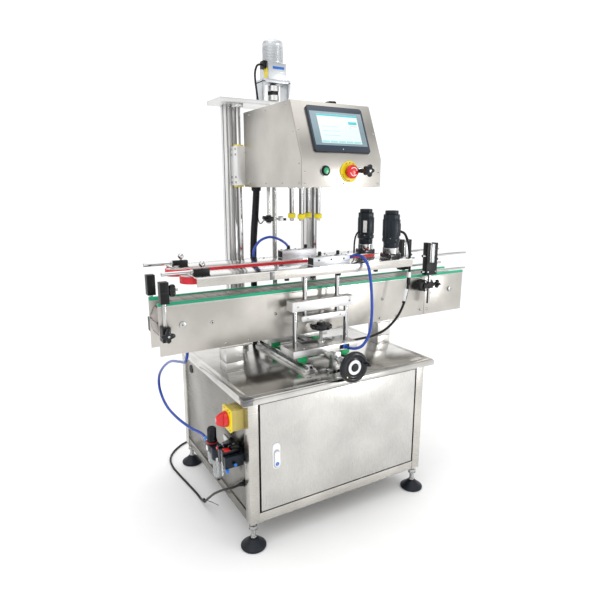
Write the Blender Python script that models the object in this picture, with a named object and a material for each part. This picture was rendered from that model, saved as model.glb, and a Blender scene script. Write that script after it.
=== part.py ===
"""Inline spindle capping machine: a cabinet with a conveyor, bottle clamps and a lifting capping head.

Metres, +Z up, standing on z = 0. X runs along the conveyor, Y from the front to the back.
The places below are measured from the middle of the cabinet; SHIFT then puts the origin
under the middle of the whole machine.
"""
import math

import bmesh
import bpy
from mathutils import Vector

for old in list(bpy.data.objects):
    bpy.data.objects.remove(old, do_unlink=True)

GAP = 0.0003
SHIFT = Vector((-0.0865, 0.03225, 0.0))

# Cabinet
CABINET_X = 0.3415
CABINET_Y = 0.3085
CABINET_Z = (0.0845, 0.5052)
POST = 0.032
SHEET = 0.0015
RECESS = 0.004
BOTTOM_RAIL_TOP = 0.1165
TOP_RAIL_BOTTOM = 0.476
TABLE_X = 0.366
TABLE_Y = 0.3335
TABLE_Z = (0.4873, 0.508)
TABLE_SHEET = 0.0025
DOOR_X = 0.303
DOOR_Z = (0.121, 0.473)
DOOR_DEPTH = 0.018
LATCH = (-0.251, 0.296)
FOOT_X = 0.3255
FOOT_Y = 0.2925

# Conveyor
PATH_Y = -0.065
BELTWAY = (-0.535, 0.715)
PLATE_Z = (0.605, 0.759)
PLATE_OUT = 0.053
PLATE_THICK = 0.003
CHAIN_HALF = 0.041
SPROCKET_X = (-0.465, 0.645)
SPROCKET_Z = 0.695
CHAIN_OUT = 0.070
CHAIN_IN = 0.062
LEG_X = (-0.288, 0.332)
HOSE_TIE = (-0.436, -0.062)
HOSE_TOP = 0.6095

# Bottle clamps
STAND_X = -0.004
CLAMP_Y = -0.170
CARRIAGE_Z = (0.5546, 0.5775)
SCREW_Z = 0.553
BAR_Z = (0.705, 0.7375)
NUT_PLATE_Z = (0.668, 0.687)
SHAFT_R = 0.008
COVER_X = (-0.447, 0.352)
COVER_Y = (-0.216, -0.106)
COVER_Z = (0.823, 0.850)
PULLEY_Y = -0.140
PULLEY_X = (-0.435, 0.312)
PULLEY_R = 0.033
BELT_Z = (0.8245, 0.8465)

# Lifting column and head
LIFT_X = -0.003
COLUMN_OFF = 0.164
COLUMN_Y = 0.1875
COLUMN_SIDE = 0.045
GUIDE_OFF = 0.156
GUIDE_Y = 0.130
GUIDE_R = 0.010
LIFT_Y = 0.165
TOP_Z = (1.376, 1.390)
HEAD_X = (-0.148, 0.137)
HEAD_Y = (-0.2866, 0.109)
HEAD_Z = (1.099, 1.345)
CREASE_Z = 1.182
SLOPE_TOP_Y = -0.2165
HEAD_SHEET = 0.002
SPINDLE_X = -0.006
SPINDLE_OFF = 0.0325
GEAR_Z = (1.125, 1.135)
MODULE = 0.002
DRIVE_TEETH = 28
SPINDLE_TEETH = 18
BEARING_Z = 1.150

# Supply cord: along the floor, then a coil and a plug behind the cabinet
COIL_R = 0.050
COIL_HALF = 0.012
COIL_HIGH = 0.030
COIL_AT = (-0.190, 0.470)
PLUG_AT = (-0.1275, 0.470)
SUPPLY_ROUTE = [(-0.3378, -0.262, 0.205), (-0.352, -0.262, 0.2045), (-0.374, -0.250, 0.194),
                (-0.388, -0.205, 0.166), (-0.393, -0.140, 0.118), (-0.392, -0.080, 0.068),
                (-0.389, -0.030, 0.027), (-0.387, 0.015, 0.0075), (-0.388, 0.060, 0.0045),
                (-0.396, 0.140, 0.0042), (-0.405, 0.220, 0.0042), (-0.409, 0.290, 0.0042),
                (-0.400, 0.350, 0.0042), (-0.372, 0.400, 0.0042), (-0.330, 0.440, 0.0042),
                (-0.285, 0.465, 0.0042), (-0.2524, 0.470, 0.0042)]

materials = {}


def material(name, colour, rough, metal):
    if name not in materials:
        made = bpy.data.materials.new(name)
        made.use_nodes = True
        shader = made.node_tree.nodes["Principled BSDF"]
        shader.inputs["Base Color"].default_value = (*colour, 1.0)
        shader.inputs["Roughness"].default_value = rough
        shader.inputs["Metallic"].default_value = metal
        materials[name] = made
    return materials[name]


def stainless():
    return material("brushed_stainless", (0.60, 0.59, 0.56), 0.28, 1.0)


def aluminium():
    return material("anodised_aluminium", (0.80, 0.80, 0.79), 0.38, 1.0)


def chrome():
    return material("polished_shaft", (0.72, 0.72, 0.72), 0.12, 1.0)


def black_plastic():
    return material("black_plastic", (0.018, 0.018, 0.020), 0.45, 0.0)


def black_paint():
    return material("black_paint", (0.020, 0.020, 0.022), 0.35, 0.0)


def red_rubber():
    return material("red_belt", (0.70, 0.03, 0.04), 0.55, 0.0)


def slat_plastic():
    return material("slat_acetal", (0.23, 0.19, 0.17), 0.45, 0.0)


def yellow_plastic():
    return material("yellow_plastic", (0.90, 0.66, 0.02), 0.35, 0.0)


def red_plastic():
    return material("red_plastic", (0.75, 0.02, 0.02), 0.30, 0.0)


def green_plastic():
    return material("green_plastic", (0.01, 0.30, 0.12), 0.30, 0.0)


def screen_plastic():
    return material("panel_housing", (0.05, 0.07, 0.11), 0.40, 0.0)


def grey_metal():
    return material("cast_alloy", (0.55, 0.56, 0.57), 0.42, 1.0)


def blue_hose():
    return material("blue_hose", (0.01, 0.10, 0.65), 0.30, 0.0)


def black_hose():
    return material("black_cable", (0.015, 0.015, 0.016), 0.50, 0.0)


# Shapes: each is a closed list of corners and faces

def oriented(axis, u, v, along):
    """A point from its place across an axis and along it."""
    if axis == "X":
        return (along, u, v)
    if axis == "Y":
        return (u, along, v)
    return (u, v, along)


def lofted(rings):
    """Joins rings of equally many corners and caps both ends."""
    count = len(rings[0])
    corners = [corner for ring in rings for corner in ring]
    faces = [tuple(range(count)), tuple(range(len(corners) - count, len(corners)))]
    for ring in range(len(rings) - 1):
        for step in range(count):
            after = (step + 1) % count
            low = ring * count
            high = low + count
            faces.append((low + step, low + after, high + after, high + step))
    return corners, faces


def prism(axis, outline, low, high):
    return lofted([[oriented(axis, u, v, along) for u, v in outline] for along in (low, high)])


def block(x, y, z):
    return prism("Z", [(x[0], y[0]), (x[1], y[0]), (x[1], y[1]), (x[0], y[1])], z[0], z[1])


def circle(centre, radius, sides):
    turns = [2.0 * math.pi * step / sides for step in range(sides)]
    return [(centre[0] + radius * math.cos(a), centre[1] + radius * math.sin(a)) for a in turns]


def rod(axis, centre, radius, span, sides=14):
    return prism(axis, circle(centre, radius, sides), span[0], span[1])


def turned(axis, centre, profile, sides=16):
    """A lathe shape from (radius, place along the axis) pairs."""
    rings = []
    for radius, along in profile:
        ring = [oriented(axis, u, v, along) for u, v in circle(centre, radius, sides)]
        rings.append(ring)
    return lofted(rings)


def stadium(low, high, across, radius, steps=7):
    """Outline round two pulleys that stand at low and high on the first axis."""
    points = []
    for centre, first in ((high, -0.5), (low, 0.5)):
        for step in range(steps + 1):
            angle = math.pi * (first + step / steps)
            points.append((centre + radius * math.cos(angle), across + radius * math.sin(angle)))
    return points


def lobed(centre, radius, lobes, depth, sides=24):
    points = []
    for step in range(sides):
        angle = 2.0 * math.pi * step / sides
        reach = radius - depth * (0.5 - 0.5 * math.cos(lobes * angle))
        points.append((centre[0] + reach * math.cos(angle), centre[1] + reach * math.sin(angle)))
    return points


def gear_outline(centre, teeth, phase):
    """Spur gear with straight flanks and a little play; phase turns a tooth to that angle."""
    pitch = MODULE * teeth / 2.0
    tip = pitch + 0.90 * MODULE
    root = pitch - 1.15 * MODULE
    half_tip = 0.14
    half_root = 0.29
    points = []
    for tooth in range(teeth):
        middle = phase + 2.0 * math.pi * tooth / teeth
        half = 2.0 * math.pi / teeth
        flanks = ((root, -half_root), (tip, -half_tip), (tip, half_tip), (root, half_root))
        for radius, side in flanks:
            angle = middle + side * half
            points.append((centre[0] + radius * math.cos(angle), centre[1] + radius * math.sin(angle)))
    return points


def mirrored(shape):
    """The same shape on the other side of the bottle path."""
    corners, faces = shape
    return [(x, 2.0 * PATH_Y - y, z) for x, y, z in corners], faces


def mesh_from(shape, origin):
    corners, faces = shape
    mesh = bmesh.new()
    made = [mesh.verts.new(Vector(corner) - origin) for corner in corners]
    for face in faces:
        mesh.faces.new([made[index] for index in face])
    bmesh.ops.recalc_face_normals(mesh, faces=mesh.faces)
    data = bpy.data.meshes.new("shape")
    mesh.to_mesh(data)
    mesh.free()
    return data


def place(name, data, origin, finish):
    thing = bpy.data.objects.new(name, data)
    bpy.context.scene.collection.objects.link(thing)
    thing.location = origin + SHIFT
    data.name = name
    data.materials.clear()
    data.materials.append(finish)
    return thing


def fused(name, finish, adds, cuts=(), origin=(0.0, 0.0, 0.0), hollow=()):
    """One solid: the first shape less the hollow, with the others joined on, less the cuts."""
    origin = Vector(origin)
    body = place(name, mesh_from(adds[0], origin), origin, finish)
    steps = [("DIFFERENCE", shape) for shape in hollow]
    steps += [("UNION", shape) for shape in adds[1:]]
    steps += [("DIFFERENCE", shape) for shape in cuts]
    for operation, shape in steps:
        tool = place("tool", mesh_from(shape, origin), origin, finish)
        change = body.modifiers.new("join", "BOOLEAN")
        change.operation = operation
        change.solver = "EXACT"
        change.object = tool
        graph = bpy.context.evaluated_depsgraph_get()
        result = bpy.data.meshes.new_from_object(body.evaluated_get(graph))
        body.modifiers.clear()
        body.data = result
        bpy.data.objects.remove(tool, do_unlink=True)
    body.data.name = name
    body.data.shade_smooth()
    body.data.set_sharp_from_angle(angle=math.radians(35.0))
    return body


def smooth_route(points, spacing):
    """Points every spacing along a smooth curve through the given ones."""
    knots = [Vector(point) for point in points]
    knots = [2.0 * knots[0] - knots[1]] + knots + [2.0 * knots[-1] - knots[-2]]
    fine = []
    for index in range(1, len(knots) - 2):
        before, start, end, after = knots[index - 1:index + 3]
        for step in range(24):
            t = step / 24.0
            fine.append(0.5 * (2.0 * start + (end - before) * t
                               + (2.0 * before - 5.0 * start + 4.0 * end - after) * t * t
                               + (3.0 * start - before - 3.0 * end + after) * t ** 3))
    fine.append(knots[-2])
    reach = [0.0]
    for start, end in zip(fine, fine[1:]):
        reach.append(reach[-1] + (end - start).length)
    lead = 0.3 * spacing
    middle = reach[-1] - 2.0 * lead
    count = max(1, round(middle / spacing))
    wanted = [lead + middle * step / count for step in range(count + 1)]
    route = [fine[0]]
    for place_along in wanted:
        index = next(i for i, gone in enumerate(reach) if gone >= place_along)
        route.append(fine[index])
    return route + [fine[-1]]


def tube(name, finish, points, diameter, resolution):
    data = bpy.data.curves.new(name, "CURVE")
    data.dimensions = "3D"
    data.bevel_depth = diameter / 2.0
    data.bevel_resolution = resolution
    data.resolution_u = 1
    data.render_resolution_u = 0
    data.use_fill_caps = True
    route = smooth_route(points, 3.0 * diameter)
    line = data.splines.new("POLY")
    line.points.add(len(route) - 1)
    for knot, point in zip(line.points, route):
        knot.co = (*point, 1.0)
    data.materials.append(finish)
    thing = bpy.data.objects.new(name, data)
    bpy.context.scene.collection.objects.link(thing)
    thing.location = SHIFT


def span(middle, half):
    return (middle - half, middle + half)


# Cabinet and table

def cabinet_body():
    z_low, z_high = CABINET_Z
    inner_x = CABINET_X - POST
    inner_y = CABINET_Y - POST
    lap = 0.002
    adds = []
    for side_x in (-1, 1):
        for side_y in (-1, 1):
            x = sorted((side_x * inner_x, side_x * CABINET_X))
            y = sorted((side_y * inner_y, side_y * CABINET_Y))
            adds.append(block(x, y, (z_low, z_high)))
    for z in ((z_low, BOTTOM_RAIL_TOP), (TOP_RAIL_BOTTOM, z_high)):
        for side in (-1, 1):
            y = sorted((side * inner_y, side * (CABINET_Y - 0.001)))
            x = sorted((side * inner_x, side * (CABINET_X - 0.001)))
            adds.append(block(span(0.0, inner_x + lap), y, (z[0] + 0.0005, z[1] - 0.0005)))
            adds.append(block(x, span(0.0, inner_y + lap), (z[0] + 0.0005, z[1] - 0.0005)))
    panel_z = (BOTTOM_RAIL_TOP - lap, TOP_RAIL_BOTTOM + lap)
    for side in (-1, 1):
        x = sorted((side * (CABINET_X - RECESS), side * (CABINET_X - RECESS - SHEET)))
        adds.append(block(x, span(0.0, inner_y + lap), panel_z))
    back = CABINET_Y - RECESS
    adds.append(block(span(0.0, inner_x + lap), (back - SHEET, back), panel_z))
    adds.append(block(span(0.0, inner_x + lap), span(0.0, inner_y + lap), (0.090, 0.0925)))
    cuts = [rod("X", (0.215, 0.427), 0.014, (-0.35, -0.33), 16),
            rod("X", (-0.262, 0.205), 0.009, (-0.35, -0.33), 12)]
    return fused("cabinet_body", stainless(), adds, cuts)


def table_top():
    hollow_x = TABLE_X - TABLE_SHEET
    hollow_y = TABLE_Y - TABLE_SHEET
    adds = [block(span(0.0, TABLE_X), span(0.0, TABLE_Y), TABLE_Z),
            block(span(STAND_X, 0.015), (-0.268, -0.246), (0.507, 0.574))]
    cuts = [block(span(0.0, hollow_x), span(0.0, hollow_y), (0.48, TABLE_Z[1] - TABLE_SHEET)),
            rod("Y", (STAND_X, SCREW_Z), 0.0092, (-0.28, -0.24))]
    return fused("table_top", stainless(), adds, cuts)


def feet():
    profile = [(0.040, 0.0), (0.040, 0.007), (0.016, 0.027), (0.008, 0.030), (0.008, 0.062),
               (0.0145, 0.062), (0.0145, 0.074), (0.008, 0.074), (0.008, CABINET_Z[0] - GAP)]
    for name, x, y in (("foot_front_left", -1, -1), ("foot_front_right", 1, -1),
                       ("foot_rear_left", -1, 1), ("foot_rear_right", 1, 1)):
        centre = (x * FOOT_X, y * FOOT_Y)
        fused(name, black_plastic(), [turned("Z", centre, profile)])


def door():
    front = -CABINET_Y
    inside = DOOR_X - SHEET
    latch_x, latch_z = LATCH
    latch = [(x, z) for z, x in stadium(latch_z - 0.029, latch_z + 0.029, latch_x, 0.013)]
    adds = [block(span(0.0, DOOR_X), (front, front + DOOR_DEPTH), DOOR_Z),
            prism("Y", latch, front - 0.003, front + 0.001)]
    cuts = [block(span(0.0, inside), (front + SHEET, 0.0), (DOOR_Z[0] + SHEET, DOOR_Z[1] - SHEET))]
    fused("door", stainless(), adds, cuts, (DOOR_X + 0.0005, front, 0.0))
    paddle = [(x, z) for z, x in stadium(latch_z - 0.025, latch_z + 0.008, latch_x, 0.008)]
    pivot = (latch_x, front - 0.0034, latch_z + 0.016)
    fused("door_handle", black_plastic(), [prism("Y", paddle, front - 0.0085, front - 0.0034)],
          (), pivot)


def main_switch():
    wall = -CABINET_X + RECESS - GAP
    y, z = -0.247, 0.425
    adds = [block((-0.3805, wall), span(y, 0.0285), span(z, 0.032)),
            block((-0.384, -0.380), span(y, 0.033), span(z, 0.036))]
    fused("main_switch_box", yellow_plastic(), adds)
    front = -0.384 - GAP
    grip = block((-0.418, front - 0.010), span(y, 0.006), span(z, 0.022))
    fused("main_switch_knob", red_plastic(), [rod("X", (y, z), 0.024, (front - 0.012, front), 16), grip],
          (), (front, y, z))


def air_unit():
    wall = -CABINET_X + RECESS - GAP
    x = -0.3875
    body = [block((-0.404, wall), (-0.2755, -0.193), (0.268, 0.325)),
            block(span(x, 0.021), (-0.195, -0.149), (0.262, 0.298)),
            block(span(x, 0.018), (-0.151, -0.100), (0.268, 0.296)),
            turned("Z", (x, -0.172), [(0.019, 0.264), (0.019, 0.240), (0.017, 0.195), (0.006, 0.183)], 12),
            turned("Z", (x, -0.1225), [(0.017, 0.270), (0.017, 0.246), (0.015, 0.222), (0.005, 0.214)], 12),
            rod("Y", (x, 0.280), 0.0085, (-0.101, -0.0603), 12),
            rod("Y", (x, 0.300), 0.007, (-0.290, -0.274), 12)]
    fused("air_unit", black_paint(), body)
    knob = [(0.0165, 0.2963), (0.0165, 0.303), (0.0150, 0.304), (0.0145, 0.340), (0.011, 0.345)]
    fused("regulator_knob", black_plastic(), [turned("Z", (x, -0.1225), knob, 14)], (),
          (x, -0.1225, 0.2963))


def control_plate():
    plate = (0.2685, 0.271)
    adds = [block(span(0.0, 0.230), plate, (0.150, 0.440)),
            block((-0.210, -0.110), (0.150, 0.270), (0.250, 0.420)),
            block((-0.080, 0.060), (0.190, 0.270), (0.300, 0.410)),
            block((0.090, 0.210), (0.170, 0.270), (0.280, 0.420)),
            block((-0.205, 0.205), (0.215, 0.270), (0.180, 0.225))]
    for x in (-0.2, 0.2):
        for z in (0.165, 0.43):
            adds.append(rod("Y", (x, z), 0.006, (0.270, CABINET_Y - RECESS - SHEET - GAP), 12))
    fused("control_plate", grey_metal(), adds)


# Conveyor

def conveyor_frame():
    front = PATH_Y - PLATE_OUT
    left, right = BELTWAY
    adds = []
    for half in (lambda shape: shape, mirrored):
        adds.append(half(block((left, right), (front, front + PLATE_THICK), PLATE_Z)))
        adds.append(half(block((left + 0.075, right - 0.075), (front + 0.0025, front + 0.0195),
                               (0.748, SPROCKET_Z + CHAIN_IN - GAP))))
        adds.append(half(block((left + 0.0005, right - 0.0005), (front - 0.0015, front + 0.0075),
                               (0.7580, 0.7675))))
        adds.append(half(block((-0.533, -0.509), (front - 0.032, front + 0.001), (0.655, 0.700))))
        adds.append(half(rod("Z", (-0.521, front - 0.0205), 0.006, (0.690, 0.780), 12)))
        adds.append(half(block((-0.534, -0.508), (front - 0.0345, front - 0.0065), (0.770, 0.834))))
        adds.append(half(block((0.452, 0.532), (front - 0.034, front + 0.001), (0.705, 0.748))))
    for x in (-0.37, -0.15, 0.09, 0.30, 0.54):
        adds.append(rod("Y", (x, 0.690), 0.009, span(PATH_Y, PLATE_OUT - 0.001), 12))
    for x in LEG_X:
        adds.append(block(span(x, 0.055), span(PATH_Y, PLATE_OUT - 0.0005), (0.598, 0.606)))
        adds.append(block(span(x, 0.030), span(PATH_Y, 0.030), (TABLE_Z[1] + GAP, 0.600)))
    back = PATH_Y + PLATE_OUT
    adds.append(block((0.610, 0.680), (back - 0.001, back + 0.065), (0.655, 0.735)))
    adds.append(rod("Y", (0.645, 0.695), 0.034, (back + 0.060, back + 0.185)))
    adds.append(block(span(HOSE_TIE[0], 0.012), span(PATH_Y, PLATE_OUT - 0.0005), (0.615, 0.623)))
    adds.append(rod("Z", HOSE_TIE, 0.008, (HOSE_TOP + GAP, 0.616), 12))
    cuts = [rod("Y", (SPROCKET_X[0], SPROCKET_Z), 0.0112, (-0.2, 0.1)),
            rod("Y", (SPROCKET_X[1], SPROCKET_Z), 0.0112, (-0.2, 0.025))]
    for half in (lambda shape: shape, mirrored):
        cuts.append(half(rod("Z", (0.511, front - 0.0205), 0.0068, (0.69, 0.76), 12)))
    fused("conveyor_frame", stainless(), adds, cuts)


def slat_chain():
    wide = span(PATH_Y, CHAIN_HALF)
    outer = prism("Y", stadium(*SPROCKET_X, SPROCKET_Z, CHAIN_OUT, 10), *wide)
    inner = prism("Y", stadium(*SPROCKET_X, SPROCKET_Z, CHAIN_IN, 10), -0.2, 0.1)
    fused("slat_chain", slat_plastic(), [outer], [inner])


def sprockets():
    ends = ((PATH_Y - PLATE_OUT - 0.006, PATH_Y + PLATE_OUT + 0.006),
            (PATH_Y - PLATE_OUT - 0.006, PATH_Y + PLATE_OUT + 0.030))
    for name, x, ends_y in zip(("idler_sprocket", "drive_sprocket"), SPROCKET_X, ends):
        centre = (x, SPROCKET_Z)
        wheel = prism("Y", lobed(centre, CHAIN_IN - 0.0016, 12, 0.004, 36), *span(PATH_Y, 0.010))
        fused(name, black_plastic(), [wheel, rod("Y", centre, 0.010, ends_y)], (),
              (x, PATH_Y, SPROCKET_Z))


def guide_rails():
    y = PATH_Y - PLATE_OUT - 0.0205
    adds = [rod("Z", (0.511, y), 0.006, (0.655, 0.800), 12),
            block((0.484, 0.538), span(y, 0.012), (0.768, 0.892)),
            rod("X", (y, 0.781), 0.005, (0.470, 0.700), 12),
            rod("X", (y, 0.842), 0.005, (0.470, 0.700), 12)]
    fused("guide_rail_front", chrome(), adds)
    fused("guide_rail_rear", chrome(), [mirrored(shape) for shape in adds])


def clamp_knobs():
    front = PATH_Y - PLATE_OUT - 0.032 - GAP
    centre = (-0.521, 0.678)
    fused("left_clamp_knob", black_plastic(),
          [prism("Y", lobed(centre, 0.021, 4, 0.009), front - 0.020, front - 0.006),
           rod("Y", centre, 0.009, (front - 0.007, front), 12)], (), (centre[0], front, centre[1]))
    side = 0.532 + GAP
    centre = (PATH_Y - PLATE_OUT - 0.0195, 0.727)
    fused("right_clamp_knob", black_plastic(),
          [prism("X", lobed(centre, 0.017, 4, 0.007), side + 0.016, side + 0.030),
           rod("X", centre, 0.007, (side, side + 0.017), 12)], (), (side, *centre))


# Bottle clamps

def cross_slide():
    ends = (-0.243, 2.0 * PATH_Y + 0.243)
    adds = []
    for x in (STAND_X - 0.085, STAND_X + 0.085):
        adds.append(block(span(x, 0.027), ends, (TABLE_Z[1] + GAP, 0.524)))
        adds.append(block(span(x, 0.010), ends, (0.523, 0.535)))
    adds.append(block(span(STAND_X, 0.080), (ends[1] - 0.015, ends[1] - 0.001), (0.510, 0.522)))
    fused("cross_rails", aluminium(), adds)
    wheel_y = -0.358
    wheel = [(0.014, wheel_y - 0.014), (0.030, wheel_y - 0.010), (0.050, wheel_y - 0.012),
             (0.050, wheel_y + 0.006), (0.040, wheel_y + 0.010), (0.014, wheel_y + 0.014)]
    adds = [rod("Y", (STAND_X, SCREW_Z), 0.008, (wheel_y, 0.095), 14),
            turned("Y", (STAND_X, SCREW_Z), wheel, 20),
            rod("Y", (STAND_X, SCREW_Z), 0.014, (-0.300, -0.288), 14),
            rod("Y", (STAND_X + 0.036, SCREW_Z + 0.010), 0.006, (wheel_y - 0.040, wheel_y), 12)]
    fused("cross_screw", black_plastic(), adds, (), (STAND_X, wheel_y, SCREW_Z))


def carriage(name, half):
    plate_y = span(CLAMP_Y + 0.010, 0.045)
    adds = [block(span(STAND_X, 0.126), plate_y, CARRIAGE_Z),
            block(span(STAND_X, 0.016), span(CLAMP_Y + 0.010, 0.020), (0.5385, 0.556)),
            block(span(STAND_X, 0.121), span(CLAMP_Y, 0.020), BAR_Z)]
    for side in (-1, 1):
        rail_x = STAND_X + side * 0.085
        adds.append(block(span(rail_x, 0.017), span(CLAMP_Y + 0.010, 0.035), (0.535 + GAP, 0.556)))
        post = (STAND_X + side * 0.101, CLAMP_Y)
        adds.append(rod("Z", post, SHAFT_R, (CARRIAGE_Z[1] - 0.001, BAR_Z[0] + 0.002)))
    cuts = [rod("Y", (STAND_X, SCREW_Z), 0.0092, (-0.25, -0.08))]
    for side in (-1, 1):
        cuts.append(rod("Z", (STAND_X + side * 0.0635, CLAMP_Y), 0.0088, (0.70, 0.75)))
    fused(name, aluminium(), [half(shape) for shape in adds], [half(shape) for shape in cuts])


def clamp(name, half):
    x0, x1 = COVER_X
    y0, y1 = COVER_Y
    z0, z1 = COVER_Z
    sheet = z1 - 0.003
    adds = [block((x0, x1), (y0, y1), (sheet, z1)),
            block((x0 + 0.0005, x1 - 0.0005), (y0 + 0.0002, y0 + 0.0025), (z0, z1 - 0.001)),
            block((PULLEY_X[0] + 0.05, PULLEY_X[1] - 0.05), (PULLEY_Y - 0.032, PULLEY_Y + 0.0315),
                  (z0 - 0.0025, sheet + 0.001)),
            rod("Z", (PULLEY_X[0], PULLEY_Y), 0.006, (z0 + 0.0015, sheet + 0.001), 12),
            block(span(STAND_X, 0.085), span(CLAMP_Y, 0.020), NUT_PLATE_Z),
            block((-0.046, 0.096), span(CLAMP_Y, 0.019), (z1 - 0.001, 0.877)),
            block((-0.440, -0.392), span(CLAMP_Y + 0.005, 0.009), (z1 - 0.001, 0.868)),
            rod("X", (CLAMP_Y + 0.005, 0.860), 0.0055, (-0.532, -0.439), 12),
            turned("Z", (-0.412, CLAMP_Y + 0.005),
                   [(0.004, 0.867), (0.006, 0.872), (0.0095, 0.881), (0.006, 0.890)], 12)]
    for x in (-0.012, 0.060):
        adds.append(rod("Z", (x, CLAMP_Y), 0.006, (0.876, 0.893), 12))
    for side in (-1, 1):
        shaft = (STAND_X + side * 0.0635, CLAMP_Y)
        adds.append(rod("Z", shaft, SHAFT_R, (NUT_PLATE_Z[0] + 0.002, z0 + 0.0005)))
    cuts = [rod("Z", (STAND_X, CLAMP_Y), 0.0070, (0.66, 0.70)),
            rod("Z", (PULLEY_X[1], PULLEY_Y), 0.0072, (0.84, 0.86))]
    fused(name, stainless(), [half(shape) for shape in adds], [half(shape) for shape in cuts])


def belt_drive(tag, half):
    middle_y = half(([(0.0, PULLEY_Y, 0.0)], ()))[0][0][1]
    outline = stadium(*PULLEY_X, middle_y, PULLEY_R + 0.0033, 9)
    inside = stadium(*PULLEY_X, middle_y, PULLEY_R + 0.0008, 9)
    fused("belt_" + tag, red_rubber(), [prism("Z", outline, *BELT_Z)], [prism("Z", inside, 0.8, 0.9)])
    rim = (BELT_Z[0] + 0.0005, BELT_Z[1] - 0.0005)
    idler = (PULLEY_X[0], middle_y)
    driven = (PULLEY_X[1], middle_y)
    fused("idler_pulley_" + tag, aluminium(), [rod("Z", idler, PULLEY_R, rim, 20)],
          [rod("Z", idler, 0.0068, (0.8, 0.9), 12)], (*idler, rim[0]))
    fused("drive_pulley_" + tag, aluminium(),
          [rod("Z", driven, PULLEY_R, rim, 20), rod("Z", driven, 0.006, (rim[0], 0.880), 12)], (),
          (*driven, rim[0]))
    motor = [(0.033, COVER_Z[1] + GAP), (0.033, 0.862), (0.029, 0.863), (0.029, 0.905), (0.032, 0.906),
             (0.032, 0.986), (0.030, 1.010), (0.026, 1.017)]
    fused("belt_motor_" + tag, black_paint(), [turned("Z", driven, motor)],
          [rod("Z", driven, 0.0068, (0.84, 0.882), 12)])


def height_screw(name, half):
    axis = half(([(STAND_X, CLAMP_Y, 0.0)], ()))[0][0]
    centre = axis[:2]
    wheel = [(0.012, 0.632), (0.030, 0.636), (0.0375, 0.634), (0.0375, 0.646), (0.012, 0.650)]
    adds = [rod("Z", centre, 0.006, (CARRIAGE_Z[1] + GAP, BAR_Z[0] - GAP), 12),
            turned("Z", centre, wheel, 18),
            rod("Z", centre, 0.011, (CARRIAGE_Z[1] + GAP, CARRIAGE_Z[1] + 0.012), 12)]
    fused(name, black_plastic(), adds, (), (*centre, 0.640))


# Lifting column

def column_outline(x, y):
    """Square aluminium extrusion with one T slot in each side."""
    half = COLUMN_SIDE / 2.0
    side = [(half, -half), (half, -0.005), (half - 0.0045, -0.005), (half - 0.0045, -0.009),
            (half - 0.012, -0.004), (half - 0.012, 0.004), (half - 0.0045, 0.009),
            (half - 0.0045, 0.005), (half, 0.005)]
    points = []
    for quarter in range(4):
        cos = (1, 0, -1, 0)[quarter]
        sin = (0, 1, 0, -1)[quarter]
        points.extend((x + u * cos - v * sin, y + u * sin + v * cos) for u, v in side)
    return points


def columns():
    for name, side in (("column_left", -1), ("column_right", 1)):
        outline = column_outline(LIFT_X + side * COLUMN_OFF, COLUMN_Y)
        fused(name, aluminium(), [prism("Z", outline, TABLE_Z[1] + GAP, TOP_Z[0] - GAP)])


def lift_guides():
    adds = [block(span(LIFT_X, 0.230), (0.102, 0.225), TOP_Z)]
    for side in (-1, 1):
        centre = (LIFT_X + side * GUIDE_OFF, GUIDE_Y)
        adds.append(rod("Z", centre, GUIDE_R, (TABLE_Z[1] + GAP, TOP_Z[0] + 0.002)))
    cuts = [rod("Z", (LIFT_X, LIFT_Y), 0.0102, (1.3, 1.4))]
    fused("lift_guides", aluminium(), adds, cuts)


def lift_drive():
    axis = (LIFT_X, LIFT_Y)
    y = span(LIFT_Y, 0.032)
    motor = [(0.030, 1.522), (0.037, 1.530), (0.037, 1.590), (0.030, 1.600), (0.016, 1.604)]
    adds = [block(span(LIFT_X, 0.054), y, (1.458, 1.468)),
            block(span(LIFT_X - 0.050, 0.004), y, (TOP_Z[1] + GAP, 1.462)),
            block(span(LIFT_X + 0.050, 0.004), y, (TOP_Z[1] + GAP, 1.462)),
            block(span(LIFT_X, 0.035), span(LIFT_Y, 0.035), (1.467, 1.523)),
            turned("Z", axis, motor, 18)]
    fused("lift_gearmotor", grey_metal(), adds)
    coupling = [(0.009, 0.5086), (0.009, 1.400), (0.021, 1.400), (0.021, 1.452), (0.010, 1.4575)]
    fused("lift_screw", chrome(), [turned("Z", axis, coupling, 14)], (), (*axis, 1.0))


# Capping head

def head_outline(inset):
    """Side view of the head, front to the left, drawn in by inset."""
    run = SLOPE_TOP_Y - HEAD_Y[0]
    rise = HEAD_Z[1] - CREASE_Z
    length = math.hypot(run, rise)
    across = rise / length
    corner = inset * (1.0 - run / length) / across
    top = inset * (length - run) / rise
    return [(HEAD_Y[0] + inset, HEAD_Z[0] + inset), (HEAD_Y[0] + inset, CREASE_Z - corner),
            (SLOPE_TOP_Y + top, HEAD_Z[1] - inset), (HEAD_Y[1] - inset, HEAD_Z[1] - inset),
            (HEAD_Y[1] - inset, HEAD_Z[0] + inset)]


def spindle_places():
    return [(SPINDLE_X + x * SPINDLE_OFF, PATH_Y + y * SPINDLE_OFF, x, y)
            for y in (-1, 1) for x in (-1, 1)]


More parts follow.
